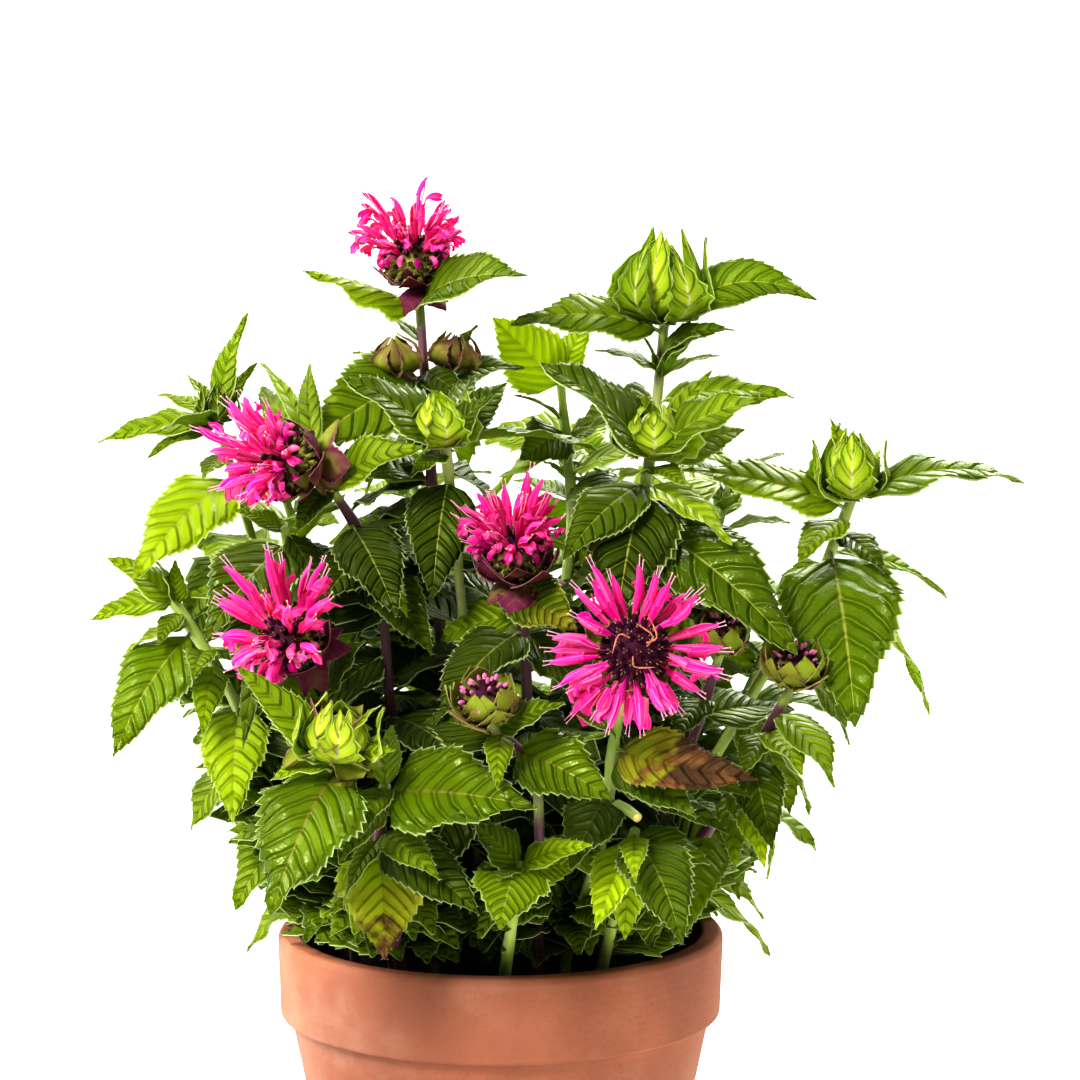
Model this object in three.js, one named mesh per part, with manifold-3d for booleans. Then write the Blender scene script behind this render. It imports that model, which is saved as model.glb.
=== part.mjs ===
// A potted bee balm: a bushy perennial with five pink blooms, closed buds and serrated leaves, in a clay pot.
// Millimetres, +Z up, the front of the plant towards -Y, the origin in the middle of the pot's flat base.
import * as THREE from 'three';
import { mergeVertices } from 'three/addons/utils/BufferGeometryUtils.js';
import Module from 'manifold-3d';

const wasm = await Module();
wasm.setup();

// The pot and the soil in it.
const potHeight = 150;
const rimRadius = 90;
const footRadius = 61;
const potWall = 6;
const rimBand = 34;
const rimStep = 5;
const drainRadius = 5;
const drainCircle = 36;
const drainHoles = 4;
const potSides = 24;
const soilSides = 16;
const soilDepth = 138;
const soilLumps = 2.6;
const holeDepth = 18;

// The gap kept between pieces that touch, and the wider one that leaves keep from other shoots.
const gap = 0.3;
const leafClear = 0.45;
const weld = 0.004;

// Stems, leaves, buds and blooms.
const stemFoot = 2.8;
const stemTop = 2.1;
const ribThick = 1.6;
const stalkWide = 1.1;
const leafStart = -0.8;
const belowTop = 1.5;
const stalkShare = 0.09;
const toothDepth = 0.13;
const bladeFold = 14;
const bladeArch = 0.09;
const upperRibs = [0.38, 0.7];
const underRib = 0.5;
const headRadius = 12;
const bloomFlat = 0.8;
const budFlat = 0.85;
const floretLong = 27;
const floretThick = 1.25;
const goldenAngle = 2.39996;
const neckLong = 6;

// The front view is taken from an eye level with the upper blooms. Places on the plant are given as they
// look from there, to the right and up on the plane through the pot's axis, with their true depth.
const eyeDistance = 1500;
const eyePitch = THREE.MathUtils.degToRad(7);
const aim = new THREE.Vector3(16, 0, 308);
const sight = new THREE.Vector3(0, Math.cos(eyePitch), -Math.sin(eyePitch));
const sightUp = new THREE.Vector3(0, Math.sin(eyePitch), Math.cos(eyePitch));
const eye = aim.clone().addScaledVector(sight, -eyeDistance);
const upLean = new THREE.Vector3(0, -0.2, 1);

const vec = (x, y, z) => new THREE.Vector3(x, y, z);

function seen(across, up, depth) {
  const onPlane = vec(across, 0, aim.z).addScaledVector(sightUp, up - aim.z);
  const ray = onPlane.sub(eye);
  return eye.clone().addScaledVector(ray, (depth - eye.y) / ray.y);
}

// A repeatable draw between 0 and 1.
function draw(seed) {
  const wave = Math.sin(seed * 12.9898 + 4.137) * 43758.5453;
  return wave - Math.floor(wave);
}

// A closed triangle mesh as a solid, and a solid as a mesh for the scene.
function solidOf(geometry) {
  const bare = geometry.clone();
  for (const name of ['normal', 'uv']) bare.deleteAttribute(name);
  const merged = mergeVertices(bare, 1e-4);
  return new wasm.Manifold(new wasm.Mesh({
    numProp: 3,
    vertProperties: merged.attributes.position.array,
    triVerts: new Uint32Array(merged.index.array),
  }));
}

// The points of a joined solid with those closer than a hair made one, and the faces that this leaves.
function welded(positions, corners) {
  const cells = new Map();
  const points = [];
  const cellOf = (p, shift) => p.map((value, axis) => Math.round(value / weld) + shift[axis]).join();
  const steps = [-1, 0, 1];
  const around = steps.flatMap((x) => steps.flatMap((y) => steps.map((z) => [x, y, z])));
  const index = [];
  for (let i = 0; i < positions.length; i += 3) {
    const point = [positions[i], positions[i + 1], positions[i + 2]];
    const close = around.map((shift) => cells.get(cellOf(point, shift))).find((at) => at !== undefined);
    index.push(close ?? points.length);
    if (close === undefined) {
      cells.set(cellOf(point, [0, 0, 0]), points.length);
      points.push(point);
    }
  }
  const faces = new Map();
  for (let i = 0; i < corners.length; i += 3) {
    const [a, b, c] = [index[corners[i]], index[corners[i + 1]], index[corners[i + 2]]];
    if (a === b || b === c || c === a) continue;
    const key = [a, b, c].sort((m, n) => m - n).join();
    if (faces.has(key)) faces.delete(key);
    else faces.set(key, [a, b, c]);
  }
  return { points: points.flat(), faces: [...faces.values()].flat() };
}

function meshOf(name, solid, look) {
  const cut = solid.getMesh();
  const { points, faces } = welded(cut.vertProperties, cut.triVerts);
  const geometry = new THREE.BufferGeometry();
  geometry.setAttribute('position', new THREE.Float32BufferAttribute(points, 3));
  geometry.setIndex(faces);
  const mesh = new THREE.Mesh(geometry, new THREE.MeshStandardMaterial(look));
  mesh.name = name;
  return mesh;
}

function facesToSolid(points, faces) {
  const geometry = new THREE.BufferGeometry().setFromPoints(points);
  geometry.setIndex(faces.flat());
  return solidOf(geometry);
}

function joined(solids) {
  return solids.slice(1).reduce((whole, next) => whole.add(next), solids[0]);
}

// A round or flattened stalk along a list of points, with a radius at each and closed flat ends.
function stalk(path, radii, sides, turn = 0) {
  const points = [];
  const faces = [];
  let side = null;
  path.forEach((place, i) => {
    const ahead = path[Math.min(i + 1, path.length - 1)].clone().sub(path[Math.max(i - 1, 0)]).normalize();
    if (!side) side = vec(0, 0, 1).cross(ahead).lengthSq() > 0.01 ? vec(0, 0, 1).cross(ahead) : vec(1, 0, 0);
    side.addScaledVector(ahead, -side.dot(ahead)).normalize();
    const across = ahead.clone().cross(side);
    for (let k = 0; k < sides; k += 1) {
      const angle = turn + (k / sides) * 2 * Math.PI;
      points.push(place.clone().addScaledVector(side, Math.cos(angle) * radii[i])
        .addScaledVector(across, Math.sin(angle) * radii[i]));
    }
  });
  for (let i = 0; i + 1 < path.length; i += 1) {
    for (let k = 0; k < sides; k += 1) {
      const a = i * sides + k;
      const b = i * sides + ((k + 1) % sides);
      faces.push([a, b, a + sides], [b, b + sides, a + sides]);
    }
  }
  const last = (path.length - 1) * sides;
  for (let k = 1; k + 1 < sides; k += 1) {
    faces.push([0, k + 1, k], [last, last + k, last + k + 1]);
  }
  return facesToSolid(points, faces);
}

// The run of a leaf's midrib, and the directions across the blade and out of its upper face.
function leafCourse(base, tip, shape) {
  const { arch = bladeArch, roll = 0, twist = 0, sweep = 0 } = shape;
  const chord = tip.clone().sub(base);
  const long = chord.length();
  const along = chord.clone().divideScalar(long);
  const face = upLean.clone().addScaledVector(along, -upLean.dot(along)).normalize();
  const over = along.clone().cross(face);
  const nearer = over.y <= 0 ? 1 : -1;
  const turned = (degrees) => {
    const angle = THREE.MathUtils.degToRad(degrees) * nearer;
    return face.clone().multiplyScalar(Math.cos(angle)).addScaledVector(over, Math.sin(angle));
  };
  const rise = turned(roll);
  const swing = along.clone().cross(rise);
  return (s) => {
    const bulge = 4 * s * (1 - s) * long;
    const slope = 4 * (1 - 2 * s);
    const place = base.clone().addScaledVector(chord, s)
      .addScaledVector(rise, arch * bulge).addScaledVector(swing, sweep * bulge);
    const ahead = along.clone().addScaledVector(rise, arch * slope)
      .addScaledVector(swing, sweep * slope).normalize();
    const out = turned(roll + twist * s);
    out.addScaledVector(ahead, -out.dot(ahead)).normalize();
    return { place, out, across: ahead.clone().cross(out) };
  };
}

// Half the blade's width at a share of the leaf's length: rounded at the base and drawn out at the tip.
function bladeHalf(s, wide) {
  if (s <= stalkShare) return stalkWide;
  const t = (s - stalkShare) / (1 - stalkShare);
  return Math.max(stalkWide, 0.5 * wide * Math.sin(Math.PI * t ** 0.66) ** 0.8 * (1.06 - 0.3 * t * t));
}

// One leaf: a folded, arched blade with forward teeth, thickest along its midrib, on a square stalk.
function leaf(base, tip, wide, shape, extra = 0) {
  const course = leafCourse(base, tip, shape);
  const fold = THREE.MathUtils.degToRad(shape.fold ?? bladeFold);
  const long = tip.distanceTo(base);
  const teeth = Math.min(shape.teeth ?? 4, long > 64 ? 4 : long > 44 ? 3 : long > 22 ? 2 : 0);
  const ribs = [stalkShare, ...(long > 34 ? upperRibs : [underRib])];
  const edge = [[stalkShare, stalkWide]];
  if (!teeth) edge.push([0.42, 0.5 * wide], [0.72, 0.34 * wide]);
  for (let k = 0; k < teeth; k += 1) {
    const span = 0.86 - stalkShare;
    const start = stalkShare + 0.06 + span * (k / teeth);
    const end = stalkShare + 0.06 + span * ((k + 0.8) / teeth);
    edge.push([start, bladeHalf(start, wide) * (k ? 1 - toothDepth : 0.9)]);
    edge.push([end, bladeHalf(end - 0.02, wide) * (1 + toothDepth * 0.6)]);
  }
  const points = [];
  const put = (s, half, lift) => {
    const { place, out, across } = course(s);
    const raised = lift + (half ? Math.sin(fold) * (Math.abs(half) - stalkWide) : 0);
    const spread = half + Math.sign(half) * extra;
    points.push(place.clone().addScaledVector(across, Math.cos(fold) * spread).addScaledVector(out, raised));
    return points.length - 1;
  };
  const right = edge.map(([s, half]) => ({ s, at: put(s, half, 0) }));
  const left = edge.map(([s, half]) => ({ s, at: put(s, -half, 0) }));
  const end = { s: 1, at: put(1, 0, 0) };
  const faces = [];
  const zip = (outer, inner, turned) => {
    let i = 0;
    let j = 0;
    while (i + 1 < outer.length || j + 1 < inner.length) {
      const outerNext = j + 1 >= inner.length || (i + 1 < outer.length && outer[i + 1].s <= inner[j + 1].s);
      const next = outerNext ? outer[i + 1] : inner[j + 1];
      if (next.at !== outer[i].at && next.at !== inner[j].at) {
        const face = [outer[i].at, next.at, inner[j].at];
        faces.push(turned ? face.reverse() : face);
      }
      if (outerNext) i += 1; else j += 1;
    }
  };
  const root = put(0, 0, 0);
  const rib = ribs.map((s) => ({ s, at: put(s, 0, ribThick / 2 + extra) }));
  const under = [{ s: underRib, at: put(underRib, 0, -ribThick / 2 - extra) }];
  zip([...right, end], [...rib, end], false);
  zip([...left, end], [...rib, end], true);
  zip([...right, end], [...under, end], true);
  zip([...left, end], [...under, end], false);
  const [r, l] = [right[0].at, left[0].at];
  faces.push([root, r, rib[0].at], [root, rib[0].at, l], [root, l, r], [r, l, under[0].at]);
  return facesToSolid(points, faces);
}

// The tips that a leaf may take instead, the nearest first, where another shoot is in its way. They lie
// in front of or behind the first one along the line of sight, then a little beside it, then closer in.
const tipReaches = [1, 0.84, 0.68, 0.5];
const tipShifts = [[0, 0], [0, 5], [0, -5], [5, 0], [-5, 0], [8, 8], [-8, 8], [8, -8], [-8, -8]];
const tipDepths = [0, -7, 7, -15, 15, -24, 24, -34, 34];

function tipChoices(base, [, , across, up, depth]) {
  const choices = [];
  for (const reach of tipReaches) {
    for (const [right, rise] of tipShifts) {
      for (const step of tipDepths) {
        const tip = seen(across + right, up + rise, depth + step);
        choices.push(base.clone().addScaledVector(tip.sub(base), reach));
      }
    }
  }
  return choices;
}

// The directions around a line that points ahead, as a function of the angle.
function frameOf(ahead) {
  const side = Math.abs(ahead.z) > 0.9 ? vec(1, 0, 0) : vec(0, 0, 1).cross(ahead);
  side.addScaledVector(ahead, -side.dot(ahead)).normalize();
  const across = ahead.clone().cross(side);
  return (angle) => side.clone().multiplyScalar(Math.cos(angle)).addScaledVector(across, Math.sin(angle));
}

// A closed green bud: one body whose lobes are the bracts that stand round it and end in free points.
function budSolid({ at, axis = [0, 0, 1], wide, tall, bracts = 6 }) {
  const foot = seen(...at);
  const ahead = vec(...axis).normalize();
  const around = frameOf(ahead);
  const rows = [
    { up: [-0.03, -0.03], out: [0.12, 0.12] },
    { up: [0.42, 0.34], out: [0.52, 0.38] },
    { up: [1, 0.72], out: [0.2, 0.12] },
  ];
  const heart = 0.58 * tall;
  const sole = rows[0].up[0] * tall;
  const sides = 2 * bracts;
  const points = [];
  rows.forEach(({ up, out }, row) => {
    for (let k = 0; k < sides; k += 1) {
      const angle = (k / sides) * 2 * Math.PI;
      const outer = k % 4 === 0 && row > 1 ? 1.25 : 1;
      const high = k % 4 === 2 && row > 1 ? 0.86 : 1;
      points.push(foot.clone().addScaledVector(ahead, up[k % 2] * tall * high)
        .addScaledVector(around(angle), out[k % 2] * wide * outer));
    }
  });
  const last = (rows.length - 1) * sides;
  points.push(foot.clone().addScaledVector(ahead, heart), foot.clone().addScaledVector(ahead, sole));
  const faces = [];
  for (let k = 0; k < sides; k += 1) {
    const next = (k + 1) % sides;
    for (let row = 0; row + 1 < rows.length; row += 1) {
      const a = row * sides;
      const b = a + sides;
      if (k % 2) faces.push([a + k, a + next, b + k], [a + next, b + next, b + k]);
      else faces.push([a + k, a + next, b + next], [a + k, b + next, b + k]);
    }
    faces.push([last + k, last + next, points.length - 2], [next, k, points.length - 1]);
  }
  return facesToSolid(points, faces);
}

// The bracts under a head: one star of pointed lobes, thickest in the middle, that droop or spread.
function bractStar({ count, long, wide, drop }, centre, ahead) {
  const around = frameOf(ahead);
  const lobe = (2 * Math.PI) / count;
  const firstTurn = 0.31;
  const outline = [
    { part: -0.5, out: 0.3 * long, aside: 0 },
    { part: 0, out: 0.62 * long, aside: -0.5 * wide },
    { part: 0, out: long, aside: 0 },
    { part: 0, out: 0.62 * long, aside: 0.5 * wide },
  ];
  const points = [];
  for (let k = 0; k < count; k += 1) {
    const turn = 0.5 * (draw(k + long) - 0.5);
    for (const { part, out, aside } of outline) {
      const angle = (k + part + firstTurn) * lobe + (part ? 0 : 0.3 * turn);
      const fall = (drop + (part ? 0 : 0.5 * turn)) * out * (out / long);
      points.push(centre.clone().addScaledVector(around(angle), out)
        .addScaledVector(around(angle + Math.PI / 2), aside).addScaledVector(ahead, -fall));
    }
  }
  const edge = points.length;
  for (const height of [0.5 * ribThick, -1.2 * ribThick]) {
    points.push(centre.clone().addScaledVector(ahead, height));
  }
  const faces = [];
  for (let k = 0; k < edge; k += 1) {
    const next = (k + 1) % edge;
    faces.push([k, next, edge], [next, k, edge + 1]);
  }
  return facesToSolid(points, faces);
}

// One floret: a three-sided tube that widens to its throat and parts in an upper and a lower lip.
function floret(root, throat, upper, lower, ahead, thick) {
  const run = throat.clone().sub(root).normalize();
  const side = run.clone().cross(ahead).normalize();
  const top = side.clone().cross(run);
  const points = [root, throat.clone().addScaledVector(top, 1.5 * thick),
    throat.clone().addScaledVector(side, 1.6 * thick).addScaledVector(top, -0.9 * thick),
    throat.clone().addScaledVector(side, -1.6 * thick).addScaledVector(top, -0.9 * thick),
    upper, lower];
  const faces = [[0, 2, 1], [0, 3, 2], [0, 1, 3], [1, 2, 4], [3, 1, 4], [2, 3, 5], [2, 5, 4], [5, 3, 4]];
  return facesToSolid(points, faces);
}

// A head of calyx tubes: a ball raised into points by a formula.
function headSolid(centre, ahead, radius, flat) {
  const ball = new THREE.IcosahedronGeometry(radius, 1);
  const place = ball.getAttribute('position');
  for (let i = 0; i < place.count; i += 1) {
    const point = vec(0, 0, 0).fromBufferAttribute(place, i);
    const corner = Math.abs(Math.abs(point.x * point.y * point.z)) < 1e-3 && Math.min(
      Math.abs(point.x), Math.abs(point.y), Math.abs(point.z)) < 1e-3 && Math.max(
      Math.abs(point.x), Math.abs(point.y), Math.abs(point.z)) < radius * 0.9;
    point.multiplyScalar(corner ? 1.16 : 0.96);
    point.z *= flat;
    place.setXYZ(i, point.x, point.y, point.z);
  }
  const turn = new THREE.Quaternion().setFromUnitVectors(vec(0, 0, 1), ahead);
  return solidOf(ball.applyQuaternion(turn).translate(centre.x, centre.y, centre.z));
}

// A bloom: a domed head of calyx tubes with two-lipped florets that spread from it and curl over.
function bloomSolids({ at, axis, from, to, florets, long = floretLong, seed }) {
  const centre = seen(...at);
  const ahead = vec(...axis).normalize();
  const around = frameOf(ahead);
  const solids = [headSolid(centre, ahead, headRadius, bloomFlat)];
  for (let k = 0; k < florets; k += 1) {
    const angle = k * goldenAngle + seed;
    const lean = THREE.MathUtils.degToRad(from + (to - from) * Math.sqrt((k + 0.5) / florets));
    const out = around(angle);
    const way = ahead.clone().multiplyScalar(Math.cos(lean)).addScaledVector(out, Math.sin(lean));
    const curl = out.clone().multiplyScalar(Math.cos(lean)).addScaledVector(ahead, -Math.sin(lean));
    const reach = long * (0.85 + 0.25 * draw(seed + k));
    const bend = 0.3 + 0.5 * draw(seed + k + 40);
    const moved = (start, forward, over) => start.clone().addScaledVector(way, forward).addScaledVector(curl, over);
    const root = moved(centre, 0.2 * headRadius, 0);
    const throat = moved(root, 0.4 * headRadius + 0.6 * reach, 0.05 * reach);
    const upper = moved(throat, 0.36 * reach, 0.2 * bend * reach);
    const lower = moved(throat, 0.14 * reach, (0.2 + 0.15 * bend) * reach);
    solids.push(floret(root, throat, upper, lower, curl.clone().negate(), floretThick));
  }
  return solids;
}

// Every shoot: the course of its stem from the top down as it looks from the front (across, up, depth),
// where its foot stands in the soil, side sprigs, closed buds, and its leaves (where each starts, and its
// tip with the depth, then its width and how it is turned, arched and folded).
const shoots = {
  stem_low_front: {
    stem: [[8, 178, -110]],
    foot: [2, -62],
    leaves: [
      [8, 177, 0, 152, -135, 28, { arch: 0.16 }],
      [8, 179, 37, 186, -124, 12, { roll: 30 }],
      [8, 177, 32, 178, -118, 20, { roll: 55 }],
      [8, 178, -12, 196, -112, 18, { roll: 40 }],
    ],
  },
  stem_low_left: {
    stem: [[-46, 210, -103], [-48, 187, -96]],
    foot: [-38, -54],
    leaves: [
      [-45, 209, 15, 201, -142, 38, { roll: 46, arch: 0.1 }],
      [-47, 210, -43, 234, -112, 12, { roll: -20 }],
      [-46, 208, -56, 189, -128, 14, { arch: 0.15 }],
      [-48, 198, -63, 180, -120, 14],
      [-48, 188, -62, 165, -122, 10],
      [-47, 184, -46, 140, -142, 42, { arch: 0.13 }],
      [-46, 186, -24, 172, -130, 16, { roll: 20 }],
      [-46, 181, -8, 158, -124, 26, { roll: 25 }],
    ],
  },
  stem_low_right: {
    stem: [[54, 192, -95]],
    foot: [40, -50],
    leaves: [
      [56, 190, 73, 146, -132, 28, { arch: 0.12 }],
      [53, 188, 54, 171, -118, 11],
      [52, 184, 38, 152, -120, 20, { roll: 10 }],
      [53, 180, 50, 148, -104, 18],
      [54, 190, 84, 178, -108, 18, { roll: 30 }],
    ],
  },
  stem_bud_dotted: {
    stem: [[-1, 226, -122], [12, 218, -106]],
    foot: [15, -44],
    bracts: { head: 'bud_dotted', count: 6, long: 17, wide: 11, drop: 0.1 },
    leaves: [
      [11, 221, 45, 204, -136, 28, { roll: 35, fold: 20 }],
      [-1, 228, -1, 208, -140, 11, { arch: 0.16 }],
      [0, 230, 26, 243, -130, 15, { roll: 40 }],
      [10, 221, -30, 236, -98, 26, { roll: 30 }],
    ],
  },
  stem_bud_low: {
    stem: [[-66, 219, -114]],
    foot: [-26, -40],
    buds: [{ at: [-66, 222, -115], axis: [0.1, -0.25, 1], wide: 31, tall: 30, bracts: 8 }],
    leaves: [
      [-66, 218, -92, 158, -150, 40, { arch: 0.12, roll: 12 }],
      [-66, 216, -92, 212, -126, 14],
      [-64, 216, -86, 164, -126, 17, { roll: -70 }],
      [-66, 219, -106, 258, -112, 16, { roll: 35, arch: 0.05 }],
      [-64, 222, -48, 242, -126, 12, { roll: 30 }],
      [-65, 220, -42, 224, -124, 12, { roll: 45 }],
      [-66, 220, -84, 236, -132, 12],
    ],
  },
  stem_bloom_front: {
    stem: [[46, 232, -100], [45, 208, -90]],
    foot: [26, -34],
    bracts: { head: 'bloom_front', count: 6, long: 18, wide: 11, drop: 0.55 },
    leaves: [
      [46, 226, 103, 212, -124, 27, { roll: 40, sweep: 0.06 }],
      [46, 230, 28, 239, -124, 13, { roll: 30 }],
      [46, 229, 31, 226, -126, 12],
      [45, 211, 79, 197, -122, 21, { roll: 25 }],
      [45, 208, 92, 190, -100, 14, { roll: 20 }],
      [44, 198, 28, 176, -112, 24, { roll: 10 }],
      [45, 216, 101, 205, -106, 16, { roll: 30 }],
    ],
  },
  stem_bud_opening: {
    stem: [[108, 235, -76], [94, 208, -66]],
    foot: [44, -22],
    bracts: { head: 'bud_opening', count: 6, long: 16, wide: 10, drop: 0.1 },
    leaves: [
      [112, 242, 134, 209, -102, 22, { arch: 0.12 }],
      [106, 232, 97, 214, -92, 15],
      [106, 230, 121, 214, -96, 20],
      [98, 216, 109, 184, -102, 21, { roll: 10 }],
      [94, 208, 106, 177, -112, 18],
      [100, 220, 107, 172, -80, 15, { roll: -60 }],
      [104, 228, 124, 198, -70, 17],
      [88, 198, 94, 176, -108, 15],
      [72, 184, 74, 150, -100, 26],
    ],
  },
  stem_bloom_middle: {
    stem: [[9, 270, -60], [11, 246, -54]],
    foot: [4, -28],
    bracts: { head: 'bloom_middle', count: 6, long: 19, wide: 11, drop: 0.35 },
    leaves: [
      [8, 275, -26, 234, -102, 28, { arch: 0.12, roll: 10 }],
      [8, 289, 31, 272, -92, 26, { roll: 40, fold: 30 }],
      [8, 275, 26, 278, -84, 10, { roll: 40 }],
      [9, 268, 35, 244, -66, 25, { roll: 20 }],
      [8, 282, -24, 268, -56, 24, { roll: 30 }],
      [10, 240, -24, 212, -40, 30],
      [9, 236, 42, 214, -46, 30],
      [6, 204, 24, 160, -84, 34, { roll: 10 }],
    ],
  },
  stem_bloom_low_left: {
    stem: [[-70, 246, -72]],
    foot: [-42, -34],
    bracts: { head: 'bloom_low_left', count: 6, long: 16, wide: 9.5, drop: 0.3 },
    leaves: [
      [-72, 250, -54, 268, -84, 18, { roll: 30 }],
      [-72, 248, -98, 244, -90, 18, { roll: 30 }],
      [-56, 212, -88, 176, -96, 30, { roll: 10 }],
    ],
  },
  stem_bud_pale: {
    stem: [[60, 342, -58], [60, 330, -55]],
    foot: [18, -12],
    buds: [{ at: [59, 343, -58], axis: [0, -0.12, 1], wide: 25, tall: 26, bracts: 6 }],
    leaves: [
      [60, 331, 47, 277, -104, 40, { arch: 0.1 }],
      [60, 341, 16, 379, -74, 36, { roll: 46, arch: 0.12 }],
      [61, 340, 107, 365, -76, 26, { roll: 36, arch: 0.12 }],
      [60, 309, 119, 262, -98, 38, { roll: 22, arch: 0.1 }],
      [61, 332, 93, 306, -74, 20, { roll: 10 }],
      [59, 331, 25, 300, -80, 24, { roll: 10 }],
      [61, 343, 85, 376, -52, 10, { roll: 30 }],
      [61, 340, 98, 352, -36, 18, { roll: 40 }],
      [60, 337, 47, 331, -78, 12],
      [60, 337, 74, 330, -78, 12],
      [60, 312, 73, 308, -72, 10],
      [50, 262, 86, 238, -20, 32],
      [40, 232, 70, 204, -34, 30],
      [46, 250, 14, 232, -8, 30, { roll: 20 }],
      [30, 212, 58, 168, -60, 34, { roll: 10 }],
    ],
  },
  stem_bud_middle: {
    stem: [[-22, 347, -48], [-20, 336, -45]],
    foot: [-6, -14],
    buds: [{ at: [-24, 347, -49], axis: [-0.1, -0.12, 1], wide: 22, tall: 20, bracts: 6 }],
    leaves: [
      [-21, 335, -27, 284, -88, 32, { arch: 0.1 }],
      [-22, 347, -63, 373, -60, 26, { roll: 34 }],
      [-22, 347, -3, 366, -54, 18, { roll: 34 }],
      [-22, 346, 39, 344, -26, 22, { roll: -24 }],
      [-21, 345, -36, 333, -62, 13],
      [-22, 348, 3, 371, -24, 16, { roll: 30 }],
      [-20, 334, 2, 316, -22, 26, { roll: 20 }],
      [-22, 347, -10, 374, -30, 14],
      [-14, 262, -50, 244, -6, 32, { roll: 20 }],
      [-12, 230, -46, 204, -24, 32],
      [-12, 250, 22, 236, 0, 30, { roll: 20 }],
      [-8, 206, -34, 164, -68, 34, { roll: 10 }],
    ],
  },
  stem_bloom_left: {
    stem: [[-66, 330, -50], [-54, 312, -42]],
    foot: [-36, -18],
    sprigs: [[[-64, 329, -50], [-72, 346, -24], [-75, 354, -14]]],
    bracts: { head: 'bloom_left', count: 6, long: 18, wide: 11, drop: 0.3 },
    leaves: [
      [-68, 332, -31, 345, -74, 23, { roll: 44, arch: 0.14 }],
      [-56, 315, -41, 277, -86, 27, { arch: 0.1, roll: 12 }],
      [-75, 353, -96, 374, -16, 14, { roll: 30 }],
      [-75, 354, -76, 379, -12, 10, { roll: 20 }],
      [-70, 334, -82, 310, -72, 12],
      [-54, 300, -37, 277, -76, 12],
      [-50, 290, -27, 262, -72, 22, { roll: 20 }],
      [-52, 296, -72, 282, -70, 22, { roll: 20 }],
      [-46, 260, -78, 234, -50, 30],
      [-42, 232, -14, 216, -44, 28],
      [-40, 210, -70, 174, -74, 32, { roll: 10 }],
    ],
  },
  stem_leafy_middle_left: {
    stem: [[-86, 313, -46], [-81, 282, -40]],
    foot: [-58, -20],
    leaves: [
      [-86, 309, -118, 268, -78, 34, { arch: 0.12, roll: 20 }],
      [-86, 312, -106, 320, -62, 13, { roll: 30 }],
      [-85, 312, -68, 278, -60, 18, { roll: 10 }],
      [-82, 290, -103, 224, -66, 15],
      [-84, 305, -60, 296, -30, 20, { roll: 30 }],
    ],
  },
  stem_bud_right: {
    stem: [[141, 325, -42], [140, 312, -40], [134, 302, -37]],
    foot: [42, 0],
    buds: [{ at: [141, 326, -42], axis: [-0.06, -0.1, 1], wide: 24, tall: 30, bracts: 8 }],
    leaves: [
      [136, 304, 142, 233, -82, 48, { arch: 0.09 }],
      [140, 321, 73, 336, -58, 26, { roll: 26, arch: 0.06 }],
      [142, 321, 210, 331, -46, 27, { roll: 18, arch: 0.16 }],
      [140, 312, 119, 299, -66, 18],
      [140, 311, 154, 295, -62, 15],
      [130, 296, 172, 238, -20, 26, { roll: 10 }],
      [134, 300, 179, 285, -12, 12, { roll: 20 }],
      [128, 294, 108, 284, -40, 15, { roll: 20 }],
      [141, 322, 132, 357, -44, 12],
      [141, 322, 152, 344, -44, 12],
      [112, 262, 140, 226, -40, 28],
      [92, 232, 116, 198, -34, 28],
      [100, 246, 72, 222, -10, 26],
      [66, 202, 96, 164, -40, 32, { roll: 10 }],
    ],
  },
  stem_bud_hidden: {
    stem: [[84, 244, -60]],
    foot: [38, -8],
    bracts: { head: 'bud_hidden', count: 5, long: 15, wide: 10, drop: 0.1 },
    leaves: [
      [84, 247, 70, 228, -80, 17],
      [80, 236, 118, 240, -40, 24, { roll: 20 }],
    ],
  },
  stem_leafy_left: {
    stem: [[-131, 284, -20], [-120, 270, -20], [-104, 238, -18]],
    foot: [-50, -4],
    leaves: [
      [-124, 274, -155, 221, -52, 31, { arch: 0.1, roll: 10 }],
      [-131, 284, -157, 301, -26, 16, { roll: 34 }],
      [-131, 283, -164, 276, -30, 16, { roll: 20 }],
      [-130, 283, -138, 300, -18, 12, { roll: 20 }],
      [-130, 281, -137, 266, -36, 10],
      [-124, 275, -150, 263, -36, 15],
      [-104, 240, -107, 194, -66, 27, { arch: 0.1 }],
      [-112, 256, -119, 230, -54, 15],
      [-118, 266, -123, 252, -54, 13],
      [-106, 242, -90, 214, -40, 18],
      [-118, 266, -106, 290, -12, 18, { roll: 20 }],
      [-96, 222, -124, 192, -20, 28],
      [-82, 196, -106, 160, -34, 28],
    ],
  },
  stem_bloom_top: {
    stem: [[-32, 384, 8], [-30, 370, 5]],
    foot: [-18, 4],
    bracts: { head: 'bloom_top', count: 5, long: 16, wide: 11, drop: 0.75 },
    sprigs: [[[-30, 373, 5], [-36, 372, -2], [-41, 377, -6]], [[-30, 374, 5], [-24, 374, 2], [-19, 379, 0]]],
    buds: [
      { at: [-41, 376, -6], axis: [-0.1, -0.2, 1], wide: 16, tall: 17, bracts: 6 },
      { at: [-19, 378, 0], axis: [0.2, -0.1, 1], wide: 17, tall: 15, bracts: 6 },
    ],
    leaves: [
      [-33, 403, -79, 416, -4, 27, { roll: 10, arch: 0.05, fold: -12 }],
      [-33, 403, 11, 419, -14, 30, { roll: 42, arch: 0.1 }],
      [-31, 372, -80, 344, -38, 35, { roll: 42, arch: 0.12 }],
      [-30, 372, -12, 362, -30, 15, { roll: 30 }],
      [-30, 372, 10, 377, -2, 22, { roll: 6 }],
      [-30, 366, -58, 352, 26, 24, { roll: 10 }],
      [-28, 330, -62, 318, 30, 30],
      [-27, 314, 8, 304, 30, 30],
      [-25, 280, -60, 262, 40, 30],
    ],
  },
  stem_bud_top: {
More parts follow.
